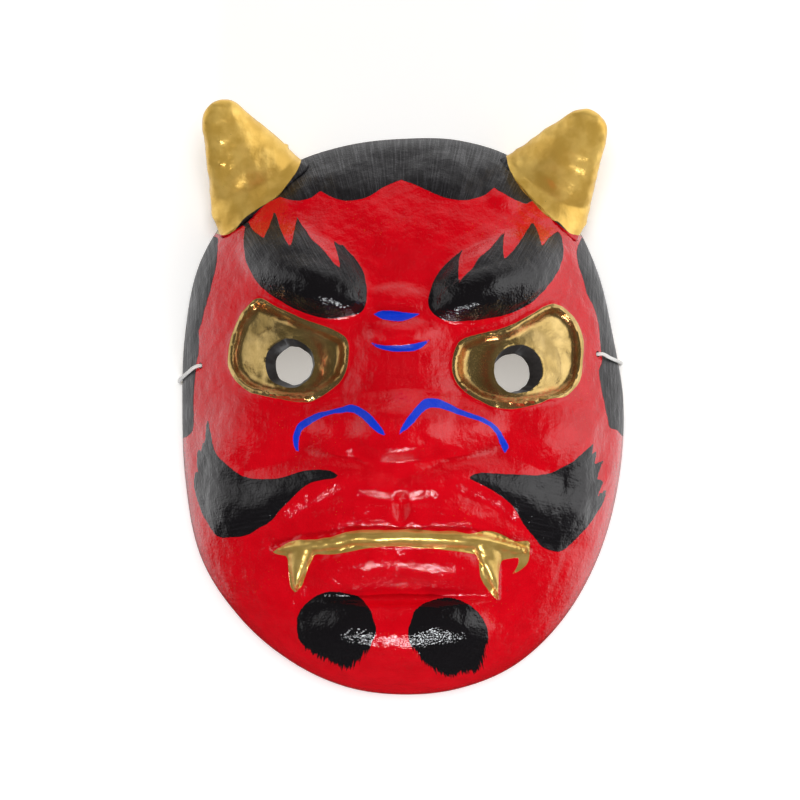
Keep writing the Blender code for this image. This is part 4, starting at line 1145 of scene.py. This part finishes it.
def paint_layers(x, y):
    """What the painted finish reads at each layout place."""
    black = np.full(len(x), FAR_OUTSIDE)
    angle, ragged, hair = np.zeros(len(x)), np.zeros(len(x)), np.zeros(len(x))
    for places, heading, rough, matte in BLACKS:
        depth = depth_in(x, y, places)
        nearer = depth > black
        black = np.maximum(black, depth)
        angle[nearer], ragged[nearer], hair[nearer] = math.radians(heading), rough, matte
    ragged += CHIN_RAGGED * np.clip((CHIN_RAGGED_FROM - y) / CHIN_RAGGED_SPAN, 0.0, 1.0)
    gold = np.max([depth_in(x, y, places) for places in GOLDS], axis=0)
    blue = np.max([depth_in(x, y, places) for places in BLUES], axis=0)
    comb = np.stack([
        (y * np.cos(angle) - x * np.sin(angle)) * 1000,
        (x * np.cos(angle) + y * np.sin(angle)) * 1000,
        np.zeros(len(x)),
    ], axis=-1)
    cap = (depth_in(x, y, HAIR_CAP) > CAP_MARGIN)[:, None]
    fan = np.stack([np.arctan2(x, y) * FAN_REACH, np.hypot(x, y) * 1000, 0 * x], axis=-1)
    comb = np.where(cap, fan, comb)
    brow = np.maximum(depth_in(x, y, LEFT_BROW), depth_in(x, y, RIGHT_BROW)) > BROW_MARGIN
    dry = (y - BROW_DRY_FROM + BROW_DRY_LEAN * (BROW_DRY_MIDDLE - np.abs(x))) / BROW_DRY_SPAN
    hair = np.where(brow, np.clip(dry, 0.0, BROW_DRY_MOST), hair)
    grain = LIP_GRAIN * (depth_in(x, y, LIP) > LIP_MARGIN)
    paints = {"black": black, "gold": gold, "blue": blue}
    made = {key: np.clip(value, -DEPTH_LIMIT, DEPTH_LIMIT) for key, value in paints.items()}
    made |= {"ragged": ragged, "hair": hair, "comb": comb}
    return made | {"grain": grain, "painted_red_reflection": eye_painted_reflection(x, y)}


def band(first, second, flipped):
    """The wall between two matching loops."""
    faces = []
    for i in range(len(first)):
        j = (i + 1) % len(first)
        quad = (first[i], first[j], second[j], second[i])
        faces.append(quad[::-1] if flipped else quad)
    return faces


def laid_over(x, y):
    """The height of the locks of hair and of the gilt ring round each eye hole, in metres."""
    total = np.zeros(len(x))
    for line in HAIR_RIDGES:
        away, along = to_line(x, y, smooth_outline(line, closed=False))
        ends = np.clip(np.sin(math.pi * np.clip(along, 0.02, 0.98)) * 2.0, 0.0, 1.0)
        total = np.maximum(total, RIDGE_HEIGHT * ends * np.exp(-((away / RIDGE_HALF) ** 2)))
    for _, place in EYES:
        middle = on_face(place)
        away = np.hypot(x - middle[0], y - middle[1]) - EYE_HOLE / 2 - EYE_RING_REACH
        total += EYE_RING_HEIGHT * np.exp(-((away / EYE_RING_HALF) ** 2))
    return total


def flat_normals(p, q, carved):
    """The outward direction of the outer surface at unrolled places."""
    pull = np.minimum(1.0, NORMAL_END / np.maximum(way_out(p, q), 1e-9))
    p, q = p * pull, q * pull
    along_p = skin(p + NORMAL_STEP, q, carved) - skin(p - NORMAL_STEP, q, carved)
    along_q = skin(p, q + NORMAL_STEP, carved) - skin(p, q - NORMAL_STEP, carved)
    out = np.cross(along_p, along_q)
    return out / np.linalg.norm(out, axis=-1, keepdims=True)


def wall_at(p, q, smooth, out):
    """How far the inside lies under the smoother surface: further where the eyes are sunk into it."""
    turn = 2 * math.pi * np.arange(SUNK_WAYS) / SUNK_WAYS
    around = [(0.0, 0.0), *zip(np.cos(turn) * SUNK_REACH, np.sin(turn) * SUNK_REACH)]
    deepest = np.max([((smooth - skin(p + a, q + b)) * out).sum(axis=-1) for a, b in around], axis=0)
    return np.where(way_out(p, q) > SUNK_SHARE, WALL, np.maximum(WALL, deepest + SUNK_WALL))


def add_shell(painted):
    pairs = hole_rings()
    outer_rings, inner_rings = [pair[0] for pair in pairs], [pair[1] for pair in pairs]
    rim = rim_line()
    outer_flat = np.concatenate([
        rim, *outer_rings, grid(SKIN_STEP, 0.0, FRONT_SHARE, outer_rings),
        grid(SIDE_STEP, FRONT_SHARE + FRONT_GAP, SIDE_END, outer_rings),
    ])
    inner_flat = np.concatenate([rim, *inner_rings, grid(INNER_STEP, 0.0, INNER_END, inner_rings)])
    outer_faces, outer_loops = triangles(outer_flat, outer_rings)
    inner_faces, inner_loops = triangles(inner_flat, inner_rings)
    p, q = outer_flat.T
    outer = skin(p, q)
    x, y, _, _, radius = from_flat(p, q)
    layers = paint_layers(x, y)
    calm = np.clip((1 - radius) / CALM_RIM, 0.0, 1.0)[:, None]
    raised = roughness(outer, 11) + laid_over(x, y)
    outer = outer + vertex_normals(outer, outer_faces) * raised[:, None] * calm
    p, q = inner_flat.T
    smooth, out = skin(p, q, carved=False), flat_normals(p, q, False)
    inner = smooth - out * wall_at(p, q, smooth, out)[:, None]
    inner += out * np.minimum(roughness(inner, 31), INSIDE_LUMPS)[:, None]
    inner[:RIM_POINTS, 2] = outer[:RIM_POINTS, 2]
    shift = len(outer)
    faces = [*outer_faces, *(inner_faces[:, ::-1] + shift)]
    picks = [0] * len(outer_faces) + [2] * len(inner_faces)
    line = list(range(RIM_POINTS))
    wall = band(line, [shift + i for i in line], True)
    faces += wall
    picks += [2] * len(wall)
    for outer_loop, inner_loop in zip(outer_loops, inner_loops):
        wall = band(outer_loop, [shift + i for i in inner_loop], False)
        faces += wall
        picks += [1] * len(wall)
    points = np.concatenate([outer, inner]) - np.array([*CENTRE, 0.0])
    padded = {}
    for key, value in layers.items():
        rest = np.zeros((len(inner), *value.shape[1:]))
        padded[key] = np.concatenate([value, rest])
    finishes = [painted, hole_finish(), paper_finish()]
    shell = add_piece("shell_skin", points, faces, finishes, picks, padded)
    shell.data.set_sharp_from_angle(angle=math.radians(EDGE_ANGLE))
    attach(shell, "root")
    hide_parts("mask_shell")


# The horns.


def skin_height(x, y):
    """The shell's outer height over a layout place, far below where there is no shell."""
    p, q = to_flat(x, y)
    up = np.where(y > 0, CROWN, CHIN)
    radius = np.hypot(x / HALF_WIDTH, y / up) / rim_share(np.arctan2(y / up, x / HALF_WIDTH))
    return np.where(radius < 0.999, skin(p, q)[..., 2], -1.0)


def horn_points(place, heading, wall, t, turn):
    """Points of a horn, made smaller all round by the wall, at shares along it and turns about it."""
    flat = on_face(place)
    taper = 1 - HORN_ROOT_HEIGHT / FRONT_TAPER
    root = np.array([flat[0] * taper, flat[1] * taper, HORN_ROOT_HEIGHT])
    angle = math.radians(heading)
    axis = np.array([math.cos(angle) * HORN_LENGTH, math.sin(angle) * HORN_LENGTH, HORN_RISE])
    across = np.array([math.sin(angle), -math.cos(angle), 0.0])
    upward = np.cross(across, axis)
    upward /= np.linalg.norm(upward)
    level = np.array([axis[0], axis[1], 0.0])
    ahead, behind = np.maximum(t, 0.0), np.maximum(-t, 0.0)
    cone = (1 - HORN_NARROWING * ahead) * np.sqrt(np.clip(1 - ahead**HORN_BLUNTNESS, 0.0, 1.0))
    flare = HORN_FLARE * np.minimum(behind / HORN_FLARE_SHARE, 1.0)
    wide = np.maximum(HORN_WIDTH / 2 * cone + flare - wall, 0.0)
    deep = np.maximum(HORN_DEPTH / 2 * cone - wall, 0.0)
    tip = 1.0 - wall / np.linalg.norm(axis)
    middle = root + axis * (ahead * tip)[..., None] - level * behind[..., None]
    reach = across * (wide * np.cos(turn))[..., None] + upward * (deep * np.sin(turn))[..., None]
    return middle + reach


def add_horn(name, node, seed, finish):
    """A horn whose foot spreads into the head in a hollow curve."""
    place, heading = HORNS[node]
    turn = 2 * math.pi * np.arange(HORN_SIDES) / HORN_SIDES
    search = np.linspace(HORN_FOOT_FROM, HORN_FOOT_TO, HORN_FOOT_TRIES)
    tests = horn_points(place, heading, 0.0, search[:, None] + 0 * turn, 0 * search[:, None] + turn)
    taper = 1 - tests[..., 2] / FRONT_TAPER
    sunk = tests[..., 2] < skin_height(tests[..., 0] / taper, tests[..., 1] / taper) - HORN_SUNK
    start = np.where(sunk.any(axis=0), search[sunk.argmax(axis=0)], search[-1])
    share = np.sin(np.linspace(0.0, math.pi / 2, HORN_ROWS))[:, None]
    layers, count = [], HORN_ROWS * HORN_SIDES
    for wall in (0.0, HORN_WALL):
        t = start + (1 - start) * share
        layers.append(horn_points(place, heading, wall, t, 0 * t + turn))
    outer = layers[0]
    foot = outer[0]
    out = foot - outer.mean(axis=(0, 1))
    out[:, 2] = 0.0
    out /= np.linalg.norm(out, axis=1, keepdims=True)
    spread = foot + out * HORN_SPREAD
    taper = 1 - spread[:, 2] / FRONT_TAPER
    spread[:, 2] = skin_height(spread[:, 0] / taper, spread[:, 1] / taper) - HORN_UNDER
    near = np.abs(spread[:, 2] - foot[:, 2]) < 2 * HORN_SPREAD
    spread = np.where(near[:, None], spread, foot)
    climbed = np.linalg.norm(outer - foot, axis=-1)
    layers[0] = outer + (spread - foot) * np.exp(-climbed / HORN_SPREAD_REACH)[..., None]
    layers = [rows.reshape(-1, 3) for rows in layers]
    quads = []
    for row in range(HORN_ROWS - 1):
        for i in range(HORN_SIDES):
            a, b = row * HORN_SIDES + i, row * HORN_SIDES + (i + 1) % HORN_SIDES
            quads.append((a, b, b + HORN_SIDES, a + HORN_SIDES))
    quads = np.array(quads)
    halves = np.concatenate([quads[:, [0, 1, 2]], quads[:, [0, 2, 3]]])
    out = vertex_normals(layers[0], halves)
    if (out * (layers[0] - layers[0].mean(axis=0))).sum() < 0:
        quads, out = quads[:, ::-1], -out
    raised = roughness(layers[0], seed)
    taper = 1 - layers[0][:, 2] / FRONT_TAPER
    over = layers[0][:, 2] > HORN_ROOT_HEIGHT
    for u, v, half, height in HORN_LUMPS:
        away = np.hypot(layers[0][:, 0] / taper * 1000 - u, layers[0][:, 1] / taper * 1000 - v)
        raised += height * 0.001 * np.exp(-((away / half) ** 2)) * over
    layers[0] = layers[0] + out * raised[:, None]
    faces = [*quads, *(quads[:, ::-1] + count)]
    low = list(range(HORN_SIDES))
    faces += band(low, [count + i for i in low], True)
    points = np.concatenate(layers)
    taper = 1 - points[:, 2] / FRONT_TAPER
    paint = paint_layers(points[:, 0] / taper, points[:, 1] / taper)
    paint["grain"] = np.ones(len(points))
    horn = add_piece(name, points - np.array([*CENTRE, 0.0]), faces, [finish], attributes=paint)
    held = bmesh.new()
    held.from_mesh(horn.data)
    bmesh.ops.remove_doubles(held, verts=held.verts, dist=1e-6)
    bmesh.ops.recalc_face_normals(held, faces=held.faces)
    held.to_mesh(horn.data)
    held.free()
    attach(horn, "root")
    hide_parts(node)


def main():
    add_camera()
    add_cord()
    add_surroundings()
    painted = painted_finish()
    add_shell(painted)
    add_horn("horn_left_skin", "horn_left", 51, painted)
    add_horn("horn_right_skin", "horn_right", 71, painted)


main()
